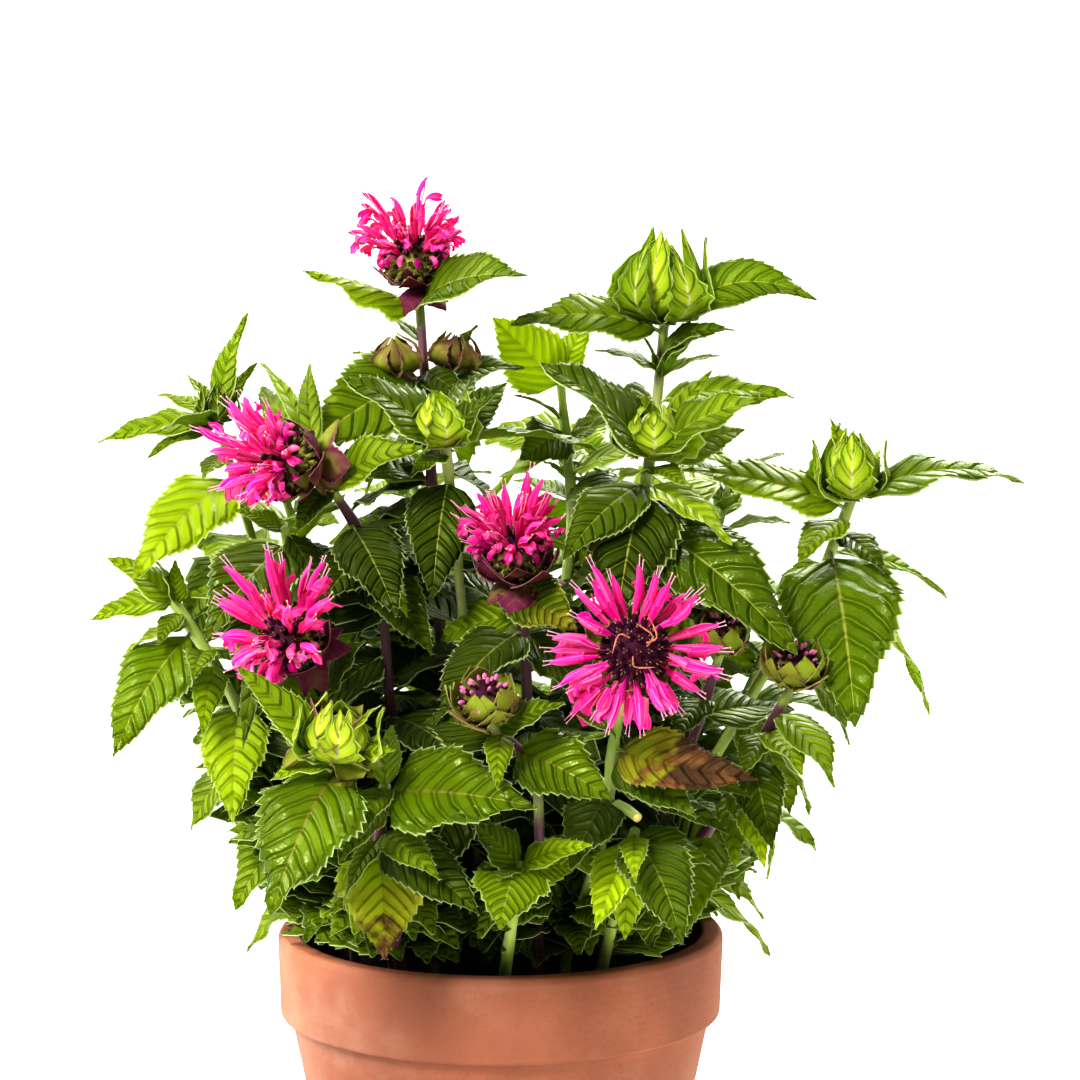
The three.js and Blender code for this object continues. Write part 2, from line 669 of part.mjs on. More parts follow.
    stem: [[66, 397, 0], [65, 370, 0]],
    foot: [24, 10],
    buds: [{ at: [66, 397, 0], axis: [0, -0.1, 1], wide: 34, tall: 34, bracts: 9 }],
    leaves: [
      [66, 394, 4, 394, -18, 26, { roll: 24, arch: 0.12 }],
      [66, 394, 127, 404, -10, 25, { roll: -12, arch: 0.2 }],
      [65, 374, 38, 384, -12, 13, { roll: 20 }],
      [65, 374, 94, 392, -14, 13, { roll: 30, arch: 0.24 }],
      [65, 366, 118, 365, -4, 17, { roll: 16 }],
      [65, 366, 30, 352, 18, 22, { roll: 10 }],
      [65, 350, 96, 336, -8, 24, { roll: 20 }],
      [60, 318, 92, 300, 26, 30],
      [56, 300, 20, 284, 20, 30],
      [50, 270, 84, 252, 36, 30],
    ],
  },
  stem_leafy_top_left: {
    stem: [[-114, 358, 12], [-106, 330, 6]],
    foot: [-46, 14],
    buds: [{ at: [-112, 356, 8], axis: [0, -0.1, 1], wide: 13, tall: 16, bracts: 5 }],
    leaves: [
      [-114, 357, -161, 347, 0, 16, { roll: 20 }],
      [-113, 356, -101, 399, 10, 13, { roll: 26 }],
      [-106, 332, -147, 292, -26, 31, { arch: 0.1, roll: 20 }],
      [-112, 352, -97, 379, 2, 10, { roll: 20 }],
      [-114, 357, -126, 375, 14, 10],
      [-114, 357, -137, 366, 16, 11, { roll: 10 }],
      [-113, 352, -134, 352, -14, 13, { roll: -30 }],
      [-112, 350, -141, 341, -12, 13, { roll: 10 }],
      [-110, 344, -119, 332, -16, 14],
      [-104, 326, -80, 332, 24, 22, { roll: 20 }],
      [-92, 290, -126, 272, 24, 30],
      [-80, 256, -112, 232, 26, 30],
    ],
  },
  stem_leafy_lime: {
    stem: [[24, 374, 60], [29, 350, 58]],
    foot: [12, 34],
    leaves: [
      [24, 372, -3, 397, 58, 29, { roll: 66 }],
      [25, 374, 37, 398, 60, 15, { roll: 40 }],
      [29, 350, 8, 340, 38, 23, { roll: 30 }],
      [28, 352, 6, 366, 48, 11],
      [29, 350, 50, 356, 40, 24, { roll: 20 }],
      [30, 330, 56, 322, 30, 26, { roll: 20 }],
      [26, 296, 60, 280, 62, 30],
      [22, 284, -14, 270, 62, 30],
    ],
  },
};

// The pink heads that the shoots above carry, each with the way it faces.
const blooms = {
  bloom_top: { at: [-34, 420, 10], axis: [-0.12, -0.1, 1], from: 8, to: 78, florets: 18, seed: 1 },
  bloom_left: { at: [-84, 339, -64], axis: [-1, -0.5, 0.12], from: 8, to: 66, florets: 18, seed: 2 },
  bloom_low_left: { at: [-84, 268, -90], axis: [-0.62, -0.62, 0.55], from: 10, to: 84, florets: 18, seed: 3 },
  bloom_middle: { at: [6, 303, -70], axis: [-0.12, -0.3, 1], from: 6, to: 66, florets: 18, seed: 4 },
  bloom_front: { at: [54, 264, -118], axis: [0.02, -1, 0.3], from: 50, to: 94, florets: 20, seed: 5 },
};

const budHeads = {
  bud_dotted: { at: [-6, 243, -129], axis: [-0.1, -0.5, 1], wide: 8.5 },
  bud_opening: { at: [118, 257, -83], axis: [0.1, -0.4, 1], wide: 8 },
  bud_hidden: { at: [89, 270, -70], axis: [0.1, -0.4, 1], wide: 8 },
};

// The shoots behind, which the front view hides: each has a stem that leans out, and pairs of leaves that
// turn by a quarter from node to node, grow larger downwards and hang outwards, as those in front do.
const backShoots = [
  { foot: [-34, 40], top: [-94, 66, 330] },
  { foot: [-8, 54], top: [-42, 112, 344] },
  { foot: [24, 56], top: [30, 124, 330] },
  { foot: [48, 34], top: [96, 84, 322] },
  { foot: [-52, 30], top: [-102, 72, 262] },
  { foot: [56, 20], top: [114, 62, 262] },
  { foot: [4, 72], top: [-8, 150, 252] },
];
const backNodes = [
  { at: 0.02, long: 30, rise: 0.55 },
  { at: 0.2, long: 48, rise: -0.15 },
  { at: 0.44, long: 56, rise: -0.5 },
  { at: 0.66, long: 58, rise: -0.6 },
];

const green = { color: 0x4f8a1e, roughness: 0.5, metalness: 0 };
const pink = { color: 0xf2148a, roughness: 0.55, metalness: 0 };
const clay = { color: 0xb4623c, roughness: 0.85, metalness: 0 };
const earth = { color: 0x2e2218, roughness: 1, metalness: 0 };

// Where a head's carrying stem ends: in the middle of its star of bracts, clear of the head.
function headFoot(head, radius, flat) {
  const ahead = vec(...head.axis).normalize();
  const below = radius * flat + gap + ribThick / 2;
  return { ahead, foot: seen(...head.at).addScaledVector(ahead, -below) };
}

function carried(name) {
  return name in blooms ? headFoot(blooms[name], headRadius, bloomFlat)
    : headFoot(budHeads[name], budHeads[name].wide, budFlat);
}

// Where every stem runs, from its top to its foot in the soil.
function stemPath(shoot) {
  const [footX, footY] = shoot.foot;
  const foot = vec(footX, footY, soilDepth - holeDepth + gap);
  const above = vec(footX, footY, soilDepth + 2 * soilLumps);
  const top = shoot.stem ? shoot.stem.map((place) => seen(...place)) : [vec(...shoot.top)];
  if (shoot.bracts) {
    const { ahead, foot: end } = carried(shoot.bracts.head);
    top.unshift(end, end.clone().addScaledVector(ahead, -neckLong));
  }
  const steps = shoot.stem ? 2 + shoot.stem.length : 4;
  const curve = new THREE.CatmullRomCurve3([...top, above], false, 'centripetal');
  return [...curve.getSpacedPoints(steps), foot];
}

function stemSolid(path, foot = stemFoot, top = stemTop, fat = 0) {
  const radii = path.map((_, i) => top + (foot - top) * (i / (path.length - 1)) + fat);
  return stalk(path, radii, 4);
}

// The point of the stems that is nearest to a place, at least a little below their upper ends.
function nearestOn(paths, place) {
  let best = null;
  for (const path of paths) {
    for (let i = 0; i + 1 < path.length; i += 1) {
      const start = path[i].clone().add(path[i + 1].clone().sub(path[i]).setLength(i ? 0 : belowTop));
      const near = new THREE.Line3(start, path[i + 1]).closestPointToPoint(place, true, vec(0, 0, 0));
      if (!best || near.distanceTo(place) < best.distanceTo(place)) best = near.clone();
    }
  }
  return best;
}

// The leaves of a back shoot, worked out from its nodes, with the tips that each may take instead.
const backRises = [0, 10, -10, 20, -20, 30, -30];
const backShifts = [0, 12, -12, 24, -24];

function backLeaves(index, path) {
  const curve = new THREE.CatmullRomCurve3(path);
  const list = [];
  backNodes.forEach(({ at, long, rise }, node) => {
    const base = curve.getPoint(at);
    const out = Math.atan2(base.y + 20, 0.7 * base.x);
    for (const turn of [-1, 1]) {
      const angle = out + turn * (node % 2 ? 0.75 : 0.35) + (turn > 0 && node % 2 === 0 ? 1.9 : 0)
        + 0.5 * (draw(index * 9 + node + turn * 50) - 0.5);
      const reach = long * (0.9 + 0.2 * draw(index + node * 7 + turn));
      const tip = base.clone().add(vec(Math.cos(angle) * reach, Math.sin(angle) * reach, rise * reach));
      const choices = backRises.flatMap((up) => backShifts
        .map((aside) => tip.clone().add(vec(aside, 0.3 * Math.abs(aside), up))));
      list.push({ base, choices, wide: 0.6 * reach, shape: { arch: 0.12, teeth: 2 } });
    }
  });
  return list;
}

// The pot: a tapered clay wall with a thick rim band, a flat base and four drain holes off its middle.
function potSolid() {
  const bandFoot = potHeight - rimBand;
  const wallAt = (z) => footRadius + (rimRadius - rimStep - footRadius) * (z / bandFoot);
  const profile = [[0, 0], [footRadius, 0], [wallAt(bandFoot), bandFoot], [rimRadius - 1, bandFoot],
    [rimRadius, potHeight - 2], [rimRadius - 1.5, potHeight], [rimRadius - potWall - 3, potHeight],
    [wallAt(bandFoot) - potWall, bandFoot - 4], [footRadius - potWall + 1, potWall], [0, potWall]];
  const geometry = new THREE.LatheGeometry(profile.map(([r, z]) => new THREE.Vector2(r, z)), potSides);
  let solid = solidOf(geometry.rotateX(Math.PI / 2));
  for (let k = 0; k < drainHoles; k += 1) {
    const angle = ((k + 0.5) / drainHoles) * 2 * Math.PI;
    const hole = new THREE.CylinderGeometry(drainRadius, drainRadius, potWall * 3, 6).rotateX(Math.PI / 2)
      .translate(Math.cos(angle) * drainCircle, Math.sin(angle) * drainCircle, potWall / 2);
    solid = solid.subtract(solidOf(hole));
  }
  return solid;
}

// The soil: it fills the pot 0.3 mm clear of the clay, with a lumpy top and a plain hole for each stem.
function soilSolid(stems) {
  const bandFoot = potHeight - rimBand;
  const innerTop = rimRadius - potWall - 3;
  const innerBand = footRadius + (rimRadius - rimStep - footRadius) * ((bandFoot - 4) / bandFoot) - potWall;
  const edge = innerBand + (innerTop - innerBand) * ((soilDepth - bandFoot + 4) / (rimBand + 4));
  const sectors = soilSides;
  const shares = [0.42, 0.86];
  const points = [vec(0, 0, potWall + gap), vec(0, 0, soilDepth)];
  const ring = (radius, height) => {
    for (let k = 0; k < sectors; k += 1) {
      const angle = (k / sectors) * 2 * Math.PI;
      const x = Math.cos(angle) * radius;
      const y = Math.sin(angle) * radius;
      points.push(vec(x, y, height(x, y)));
    }
  };
  ring(footRadius - potWall + 0.4, () => potWall + gap);
  ring(innerBand - 0.9, () => bandFoot - 4);
  ring(edge - 0.9, () => soilDepth - 1);
  const lumps = (x, y) => soilDepth + soilLumps * Math.sin(x * 0.13 + 1) * Math.cos(y * 0.11)
    + 0.5 * soilLumps * Math.sin(x * 0.31 + y * 0.27);
  for (const share of [...shares].reverse()) ring(edge * share, lumps);
  const rings = (points.length - 2) / sectors;
  const faces = [];
  for (let k = 0; k < sectors; k += 1) {
    const next = (k + 1) % sectors;
    faces.push([0, 2 + next, 2 + k]);
    for (let r = 0; r + 1 < rings; r += 1) {
      const a = 2 + r * sectors;
      faces.push([a + k, a + next, a + sectors + k], [a + next, a + sectors + next, a + sectors + k]);
    }
    const top = 2 + (rings - 1) * sectors;
    faces.push([top + k, top + next, 1]);
  }
  let solid = facesToSolid(points, faces);
  for (const path of stems) {
    const foot = path[path.length - 1].clone().add(vec(0, 0, -gap));
    const radius = (stemFoot + gap) / Math.cos(Math.PI / 4);
    const hole = new THREE.CylinderGeometry(radius, radius, 2 * holeDepth, 4).rotateX(Math.PI / 2)
      .translate(foot.x, foot.y, foot.z + holeDepth);
    solid = solid.subtract(solidOf(hole));
  }
  return solid;
}

// A front shoot's leaves: pairs that would start at one point of the stem are set a little apart along it.
function frontLeaves(shoot) {
  return shoot.leaves.map((row, i) => {
    const lift = 2.2 * ((i % 4) - 1.5);
    const aside = nearestOn(shoot.paths, seen(row[0], row[1] + lift, shoot.stem[0][2]));
    const base = nearestOn(shoot.paths, aside);
    base.addScaledVector(seen(row[2], row[3], row[4]).sub(base).normalize(), leafStart);
    return { base, choices: tipChoices(base, row), wide: row[5], shape: row[6] ?? {} };
  });
}

// All stems and heads are placed first, then the leaves of each shoot in turn, which bend clear of them.
// A leaf may cross others of its own shoot a little, or more where no other place is near.
const ownCrossing = 1.5;
const nearChoices = 60;
const placed = [];
const keep = (name, solid, blade = false) => {
  placed.push({ name, solid, blade, box: solid.boundingBox() });
  return solid;
};
const near = (a, b) => [0, 1, 2].every((i) => a.min[i] <= b.max[i] && b.min[i] <= a.max[i]);
const blocked = (name, solid, own) => {
  const box = solid.boundingBox();
  const most = (other) => (other.name !== name ? 1e-6 : other.blade ? own : Infinity);
  return placed.some((other) => near(box, other.box) && most(other) < Infinity
    && solid.intersect(other.solid).volume() > most(other));
};

const group = new THREE.Group();
const pieces = {};
const allShoots = Object.entries(shoots).map(([name, shoot]) => ({ name, ...shoot }));
backShoots.forEach((shoot, i) => allShoots.push({ name: `stem_back_${i + 1}`, back: i + 1, ...shoot }));

for (const shoot of allShoots) {
  shoot.path = stemPath(shoot);
  shoot.paths = [shoot.path];
  pieces[shoot.name] = [keep(shoot.name, stemSolid(shoot.path))];
  for (const sprig of shoot.sprigs ?? []) {
    const path = new THREE.CatmullRomCurve3(sprig.map((place) => seen(...place))).getPoints(2);
    path[0].copy(nearestOn([shoot.path], path[0]));
    shoot.paths.push(path);
    pieces[shoot.name].push(keep(shoot.name, stemSolid(path, 1.3, 1.5)));
  }
  if (shoot.bracts) {
    const { ahead, foot } = carried(shoot.bracts.head);
    pieces[shoot.name].push(keep(shoot.name, bractStar(shoot.bracts, foot, ahead)));
  }
  for (const bud of shoot.buds ?? []) {
    pieces[shoot.name].push(keep(shoot.name, budSolid(bud)));
  }
}
group.add(meshOf('pot', keep('pot', potSolid()), clay));
group.add(meshOf('soil', keep('soil', soilSolid(allShoots.map((shoot) => shoot.path))), earth));
for (const [name, bloom] of Object.entries(blooms)) {
  pieces[name] = bloomSolids(bloom).map((solid) => keep(name, solid));
}
for (const [name, head] of Object.entries(budHeads)) {
  pieces[name] = [keep(name, headSolid(seen(...head.at), vec(...head.axis).normalize(), head.wide, budFlat))];
}
for (const shoot of allShoots) {
  const leaves = shoot.back ? backLeaves(shoot.back, shoot.path) : frontLeaves(shoot);
  for (const { base, choices, wide, shape } of leaves) {
    const share = (end) => Math.min(1, end.distanceTo(base) / choices[0].distanceTo(base));
    const bladeTo = (end, extra) => leaf(base, end, wide * share(end), shape, extra);
    const fits = (own) => choices.findIndex((end) => !blocked(shoot.name, bladeTo(end, leafClear), own));
    const apart = fits(ownCrossing);
    const pick = apart >= 0 && apart < nearChoices ? apart : fits(Infinity);
    if (pick >= 0) pieces[shoot.name].push(keep(shoot.name, bladeTo(choices[pick], 0), true));
  }
}

for (const [name, solids] of Object.entries(pieces)) {
  group.add(meshOf(name, joined(solids), name.startsWith('stem') ? green : pink));
}

export default group;
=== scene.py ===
# A potted bee balm: its finished pieces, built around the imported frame.
import math

import bpy
import numpy as np
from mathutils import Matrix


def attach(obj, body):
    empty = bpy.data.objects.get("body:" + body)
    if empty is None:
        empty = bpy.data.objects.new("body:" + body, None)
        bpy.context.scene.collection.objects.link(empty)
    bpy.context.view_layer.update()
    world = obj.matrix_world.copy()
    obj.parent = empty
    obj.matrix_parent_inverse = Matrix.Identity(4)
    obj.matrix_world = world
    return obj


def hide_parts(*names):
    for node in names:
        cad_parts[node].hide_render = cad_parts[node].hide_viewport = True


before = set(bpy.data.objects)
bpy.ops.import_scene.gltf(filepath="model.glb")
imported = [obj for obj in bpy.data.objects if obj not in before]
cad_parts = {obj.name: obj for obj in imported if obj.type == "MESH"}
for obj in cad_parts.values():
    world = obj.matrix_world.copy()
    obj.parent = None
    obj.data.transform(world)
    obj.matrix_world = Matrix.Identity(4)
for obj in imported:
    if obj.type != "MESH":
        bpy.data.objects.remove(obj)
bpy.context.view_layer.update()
print("frame loaded,", len(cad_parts), "nodes")

# Places are worked out in millimetres, as the solids are, and turned into metres when a mesh is made.
milli = 0.001
turnStep = 2.39996  # the angle from one floret or calyx to the next

# The photograph's view: an eye level with the upper blooms, looking a little down.
view = {"aim": (16, 0, 308), "pitch": 7, "distance": 1500, "lens": 125, "sensor": 36}


def vec(*numbers):
    return np.array(numbers, float)


def unit(v):
    return v / np.maximum(np.linalg.norm(v, axis=-1, keepdims=True), 1e-9)


aim = vec(*view["aim"])
pitch = math.radians(view["pitch"])
sight = vec(0, math.cos(pitch), -math.sin(pitch))
sightUp = vec(0, math.sin(pitch), math.cos(pitch))
eye = aim - sight * view["distance"]


def seen(across, up, depth):  # a place given as it looks from the front, with its true depth
    ray = vec(across, 0, aim[2]) + sightUp * (up - aim[2]) - eye
    return eye + ray * ((depth - eye[1]) / ray[1])


def draw(seed):  # a repeatable draw between 0 and 1
    wave = math.sin(seed * 12.9898 + 4.137) * 43758.5453
    return wave - math.floor(wave)


def curvePoint(points, t):  # a smooth centripetal curve through the points
    spans = len(points) - 1
    at = min(int(spans * t), spans - 1)
    share = spans * t - at
    a, b = points[at], points[at + 1]
    before = points[at - 1] if at > 0 else 2 * a - b
    after = points[at + 2] if at + 2 <= spans else 2 * b - a
    d0, d1, d2 = (np.sum((q - p) ** 2) ** 0.25 for p, q in ((before, a), (a, b), (b, after)))
    m1 = ((a - before) / d0 - (b - before) / (d0 + d1) + (b - a) / d1) * d1
    m2 = ((b - a) / d1 - (after - a) / (d1 + d2) + (after - b) / d2) * d1
    bend = share * (-3 * a + 3 * b - 2 * m1 - m2 + share * (2 * a - 2 * b + m1 + m2))
    return a + share * (m1 + bend)


def curvePoints(points, shares):
    return np.array([curvePoint(points, t) for t in shares])


def spacedPoints(points, steps):  # points at equal distances along that curve
    fine = 200
    places = curvePoints(points, np.linspace(0, 1, fine + 1))
    run = np.concatenate([[0], np.cumsum(np.linalg.norm(np.diff(places, axis=0), axis=1))])
    shares = []
    for k in range(steps + 1):
        target = run[-1] * k / steps
        at = min(int(np.searchsorted(run, target, side="right")) - 1, fine - 1)
        shares.append((at + (target - run[at]) / (run[at + 1] - run[at])) / fine)
    return curvePoints(points, shares)


def frameOf(ahead):  # the directions around a line, as a function of the angle
    side = vec(1, 0, 0) if abs(ahead[2]) > 0.9 else np.cross(vec(0, 0, 1), ahead)
    side = unit(side - ahead * side.dot(ahead))
    across = np.cross(ahead, side)
    return lambda angle: side * math.cos(angle) + across * math.sin(angle)


# A material, or a world, under construction: add places a node, and sockets given as inputs are linked.
class Finish:
    def __init__(self, name, owner=None):
        self.material = owner or bpy.data.materials.new(name)
        self.material.use_nodes = True
        self.tree = self.material.node_tree
        self.tree.nodes.clear()

    def add(self, kind, inputs=None, **settings):
        made = self.tree.nodes.new(kind)
        for name, value in settings.items():
            setattr(made, name, value)
        for name, value in (inputs or {}).items():
            socket = made.inputs[name]
            if isinstance(value, bpy.types.NodeSocket):
                self.tree.links.new(value, socket)
            else:
                socket.default_value = value
        return made

    def math(self, operation, a, b=0.0, clamp=False):
        return self.add("ShaderNodeMath", {0: a, 1: b}, operation=operation, use_clamp=clamp).outputs[0]

    def ramp(self, factor, stops, ease="EASE"):
        made = self.add("ShaderNodeValToRGB", {0: factor})
        made.color_ramp.interpolation = ease
        points = made.color_ramp.elements
        while len(points) < len(stops):
            points.new(0.5)
        for point, (at, colour) in zip(points, stops):
            point.position = at
            point.color = (*colour, 1)
        return made.outputs[0]

    def between(self, value, low, high):  # 0 below low, 1 above high, smooth between
        made = self.add("ShaderNodeMapRange", {0: value, 1: low, 2: high}, interpolation_type="SMOOTHSTEP")
        return made.outputs[0]

    def mix(self, factor, a, b, blend="MIX"):
        made = self.add("ShaderNodeMix", data_type="RGBA", blend_type=blend)
        for socket, value in zip((made.inputs[0], made.inputs[6], made.inputs[7]), (factor, a, b)):
            if isinstance(value, bpy.types.NodeSocket):
                self.tree.links.new(value, socket)
            else:
                socket.default_value = (*value, 1) if isinstance(value, tuple) else value
        return made.outputs[2]

    def noise(self, scale, detail=2, vector=None, rough=0.5):
        inputs = {"Scale": scale, "Detail": detail, "Roughness": rough}
        if vector is None:
            vector = self.add("ShaderNodeTexCoord").outputs["Object"]
        return self.add("ShaderNodeTexNoise", {"Vector": vector, **inputs}).outputs[0]

    def parts(self, name):  # the three numbers of a vector attribute
        read = self.add("ShaderNodeAttribute", attribute_name=name)
        return self.add("ShaderNodeSeparateXYZ", {0: read.outputs["Vector"]}).outputs

    def bump(self, height, strength, distance, under=None):  # fine relief, over a coarser one if given
        inputs = {"Height": height, "Strength": strength, "Distance": distance}
        if under is not None:
            inputs["Normal"] = under
        return self.add("ShaderNodeBump", inputs).outputs[0]

    def close(self, surface, glow=None, share=0.0):  # the surface alone, or with light let through
        if glow is not None:
            surface = self.add("ShaderNodeMixShader", {0: share, 1: surface, 2: glow}).outputs[0]
        self.add("ShaderNodeOutputMaterial", {0: surface})
        return self.material


# Leaf finishes. The attribute run holds where a point lies on the blade (vein count, distance from the
# midrib, share of the length), and mark holds the leaf's tone, how pink its rib is, and its dry patch. The
# tone is partly the leaf's own green and partly painted light and shade: dark where the leaf lies in shade,
# lime where light shines through it. The grooves along the veins carry painted shade.
leafFinish = {
    "tones": ((0, (0.034, 0.056, 0.001)), (0.3, (0.095, 0.147, 0.002)), (0.6, (0.225, 0.31, 0.003)),
              (0.85, (0.35, 0.44, 0.005)), (1, (0.46, 0.57, 0.008))),
    "glow": ((0, (0.10, 0.16, 0.001)), (0.5, (0.40, 0.52, 0.002)), (1, (0.74, 0.88, 0.010))),
    "vein": (0.42, 0.48, 0.05), "veinShare": 0.3, "paintedValleyShade": 0.6, "middle": 0.06,
    "ribPale": (0.50, 0.52, 0.12), "ribPink": (0.20, 0.045, 0.045), "ribWide": 0.036,
    "edge": (0.60, 0.68, 0.33), "edgeShare": 0.85,
    "brown": (0.12, 0.058, 0.030), "tan": (0.34, 0.15, 0.05), "yellow": (0.42, 0.36, 0.03), "rough": 0.52,
    "glossShare": 0.36, "through": 0.42, "sheen": (0.9, 1.0, 0.48), "uneven": 0.6,
}
underFinish = {
    **leafFinish, "veinShare": 0.6, "paintedValleyShade": 0.0, "rough": 0.72, "glossShare": 0.05, "ribWide": 0.06,
    "tones": ((0, (0.08, 0.13, 0.02)), (0.5, (0.19, 0.29, 0.05)), (1, (0.40, 0.54, 0.10))),
}
budFinish = {
    **leafFinish, "veinShare": 0.35, "vein": (0.58, 0.62, 0.14), "ribPale": (0.72, 0.74, 0.34),
    "ribWide": 0.1, "rough": 0.62, "paintedValleyShade": 0.25, "middle": 0.4,
    "tones": ((0, (0.06, 0.10, 0.002)), (0.5, (0.26, 0.37, 0.008)), (1, (0.60, 0.69, 0.06))),
}


def leafMaterial(name, look):
    f = Finish(name)
    phase, side, along = f.parts("run")
    tone, pink, patch = f.parts("mark")
    gloss = f.add("ShaderNodeAttribute", attribute_name="gloss").outputs["Fac"]
    cloud = f.math("MULTIPLY", f.math("SUBTRACT", f.noise(45, 2), 0.5), 0.34)
    middle = f.math("MULTIPLY", f.math("SUBTRACT", 0.6, side), look["middle"])
    shade = f.math("ADD", f.math("ADD", tone, middle), cloud)
    uneven = f.math("MULTIPLY", f.math("SUBTRACT", f.noise(70, 2), 0.5), look["uneven"])
    toVein = f.math("PINGPONG", f.math("ADD", phase, uneven), 0.5)
    inner = f.math("SUBTRACT", 1, f.between(side, 0.8, 0.95))
    vein = f.math("MULTIPLY", f.math("SUBTRACT", 1, f.between(toVein, 0.015, 0.06), clamp=True), inner)
    rib = f.math("SUBTRACT", 1, f.between(side, 0.3 * look["ribWide"], look["ribWide"]), clamp=True)
    flush = f.math("MULTIPLY", pink, f.math("SUBTRACT", 1.25, along), clamp=True)
    ribColour = f.mix(flush, look["ribPale"], look["ribPink"])
    # the tone ramp paints the leaf's green together with the light and shade on it
    base = f.ramp(shade, look["tones"])
    # painted shade: the blade is darkened in the grooves beside the veins, more on the darker leaves, as if
    # shade lay in them
    paintedValleyShade = f.math("MULTIPLY", f.math("SUBTRACT", 1, f.between(toVein, 0.02, 0.2)), inner)
    deep = f.math("MULTIPLY", f.math("SUBTRACT", 1.0, tone, clamp=True), look["paintedValleyShade"])
    base = f.mix(f.math("MULTIPLY", paintedValleyShade, deep), base, look["tones"][0][1])
    base = f.mix(f.math("MULTIPLY", vein, look["veinShare"]), base, look["vein"])
    base = f.mix(f.math("MULTIPLY", rib, 0.8), base, ribColour)
    base = f.mix(f.math("MULTIPLY", f.between(side, 0.955, 0.985), look["edgeShare"]), base, look["edge"])
    spread = f.math("MULTIPLY", patch, f.math("ADD", 0.55, f.math("MULTIPLY", along, 0.8)))
    worn = f.math("ADD", spread, f.math("MULTIPLY", f.math("SUBTRACT", f.noise(120, 3), 0.5), 0.5))
    base = f.mix(f.math("MULTIPLY", f.between(worn, 0.25, 0.5), 0.8), base, look["yellow"])
    dry = f.between(worn, 0.5, 0.6)
    dead = f.mix(f.between(f.noise(90, 2), 0.5, 0.7), look["brown"], look["tan"])
    base = f.mix(dry, base, dead)
    blade = f.add("ShaderNodeCombineXYZ", {0: f.math("MULTIPLY", side, 0.32), 1: along}).outputs[0]
    net = f.add("ShaderNodeTexVoronoi", {"Vector": blade, "Scale": 42}, feature="DISTANCE_TO_EDGE",
                voronoi_dimensions="2D").outputs[0]
    mesh = f.math("MULTIPLY", f.between(net, 0, 0.12), 0.5)
    fine = f.math("ADD", mesh, f.math("MULTIPLY", f.noise(900, 2), 0.5))
    quilt = f.math("MULTIPLY", f.between(toVein, 0.0, 0.3), inner)
    normal = f.bump(fine, 0.45, 0.0005, f.bump(quilt, 1.0, 0.0015))
    rough = f.math("SUBTRACT", look["rough"], f.math("MULTIPLY", gloss, look["glossShare"]))
    rough = f.math("ADD", rough, f.math("MULTIPLY", dry, 0.25))
    body = f.add("ShaderNodeBsdfPrincipled", {
        "Base Color": base, "Roughness": rough, "Normal": normal, "Specular IOR Level": 0.42,
        "Specular Tint": (*look["sheen"], 1)}).outputs[0]
    lit = f.ramp(shade, look["glow"])
    lit = f.mix(f.math("MULTIPLY", vein, 0.35), lit, look["vein"])
    lit = f.mix(f.math("MULTIPLY", rib, 0.6), lit, ribColour)
    lit = f.mix(dry, lit, look["brown"])
    glow = f.add("ShaderNodeBsdfTranslucent", {"Color": lit}).outputs[0]
    return f.close(body, glow, look["through"])


# Green stems, paler in patches and flushed with purple where mark says so.
stemFinish = {"green": (0.24, 0.34, 0.04), "pale": (0.40, 0.46, 0.14), "purple": (0.10, 0.035, 0.05)}


def stemMaterial():
    f = Finish("stemSkin")
    _, pink, _ = f.parts("mark")
    patchy = f.noise(60, 3)
    base = f.mix(f.between(patchy, 0.35, 0.7), stemFinish["green"], stemFinish["pale"])
    blotch = f.math("MULTIPLY", f.math("SUBTRACT", patchy, 0.5), 0.7)
    flush = f.between(f.math("ADD", pink, blotch), 0.3, 0.75)
    base = f.mix(flush, base, stemFinish["purple"])
    normal = f.bump(f.noise(1400, 2), 0.3, 0.0003)
    body = f.add("ShaderNodeBsdfPrincipled", {
        "Base Color": base, "Roughness": 0.5, "Normal": normal,
        "Sheen Weight": 0.35, "Sheen Roughness": 0.35}).outputs[0]
    return f.close(body)


# Bracts under the heads: olive green in the middle of a young one, purple brown at the edges and when old.
bractFinish = {
    "green": (0.27, 0.33, 0.03), "purple": (0.15, 0.018, 0.060), "brown": (0.22, 0.12, 0.05),
    "edge": (0.42, 0.26, 0.20), "glow": (0.45, 0.22, 0.06),
}


def bractMaterial():
    look = bractFinish
    f = Finish("bractSkin")
    phase, side, along = f.parts("run")
    tone, _, _ = f.parts("mark")
    cloud = f.math("MULTIPLY", f.math("SUBTRACT", f.noise(140, 3), 0.5), 0.7)
    outward = f.math("MAXIMUM", f.math("MULTIPLY", side, side), f.math("MULTIPLY", along, 0.7))
    ripe = f.math("ADD", f.math("MULTIPLY", tone, 1.1), f.math("MULTIPLY", outward, 0.5))
    ripe = f.math("ADD", ripe, cloud)
    base = f.mix(f.between(ripe, 0.35, 0.95), look["green"], look["purple"])
    base = f.mix(f.math("MULTIPLY", f.between(f.noise(60, 3), 0.5, 0.7), 0.5), base, look["brown"])
    vein = f.math("SUBTRACT", 1, f.between(f.math("PINGPONG", phase, 0.5), 0.02, 0.09), clamp=True)
    base = f.mix(f.math("MULTIPLY", vein, 0.1), base, leafFinish["vein"])
    base = f.mix(f.math("MULTIPLY", f.between(side, 0.93, 0.99), 0.6), base, look["edge"])
    body = f.add("ShaderNodeBsdfPrincipled", {
        "Base Color": base, "Roughness": 0.6, "Normal": f.bump(f.noise(900, 2), 0.3, 0.0003),
        "Specular IOR Level": 0.22, "Specular Tint": (1.0, 0.8, 0.7, 1)}).outputs[0]
    glow = f.add("ShaderNodeBsdfTranslucent", {"Color": f.mix(0.35, base, look["glow"])}).outputs[0]
    return f.close(body, glow, 0.28)


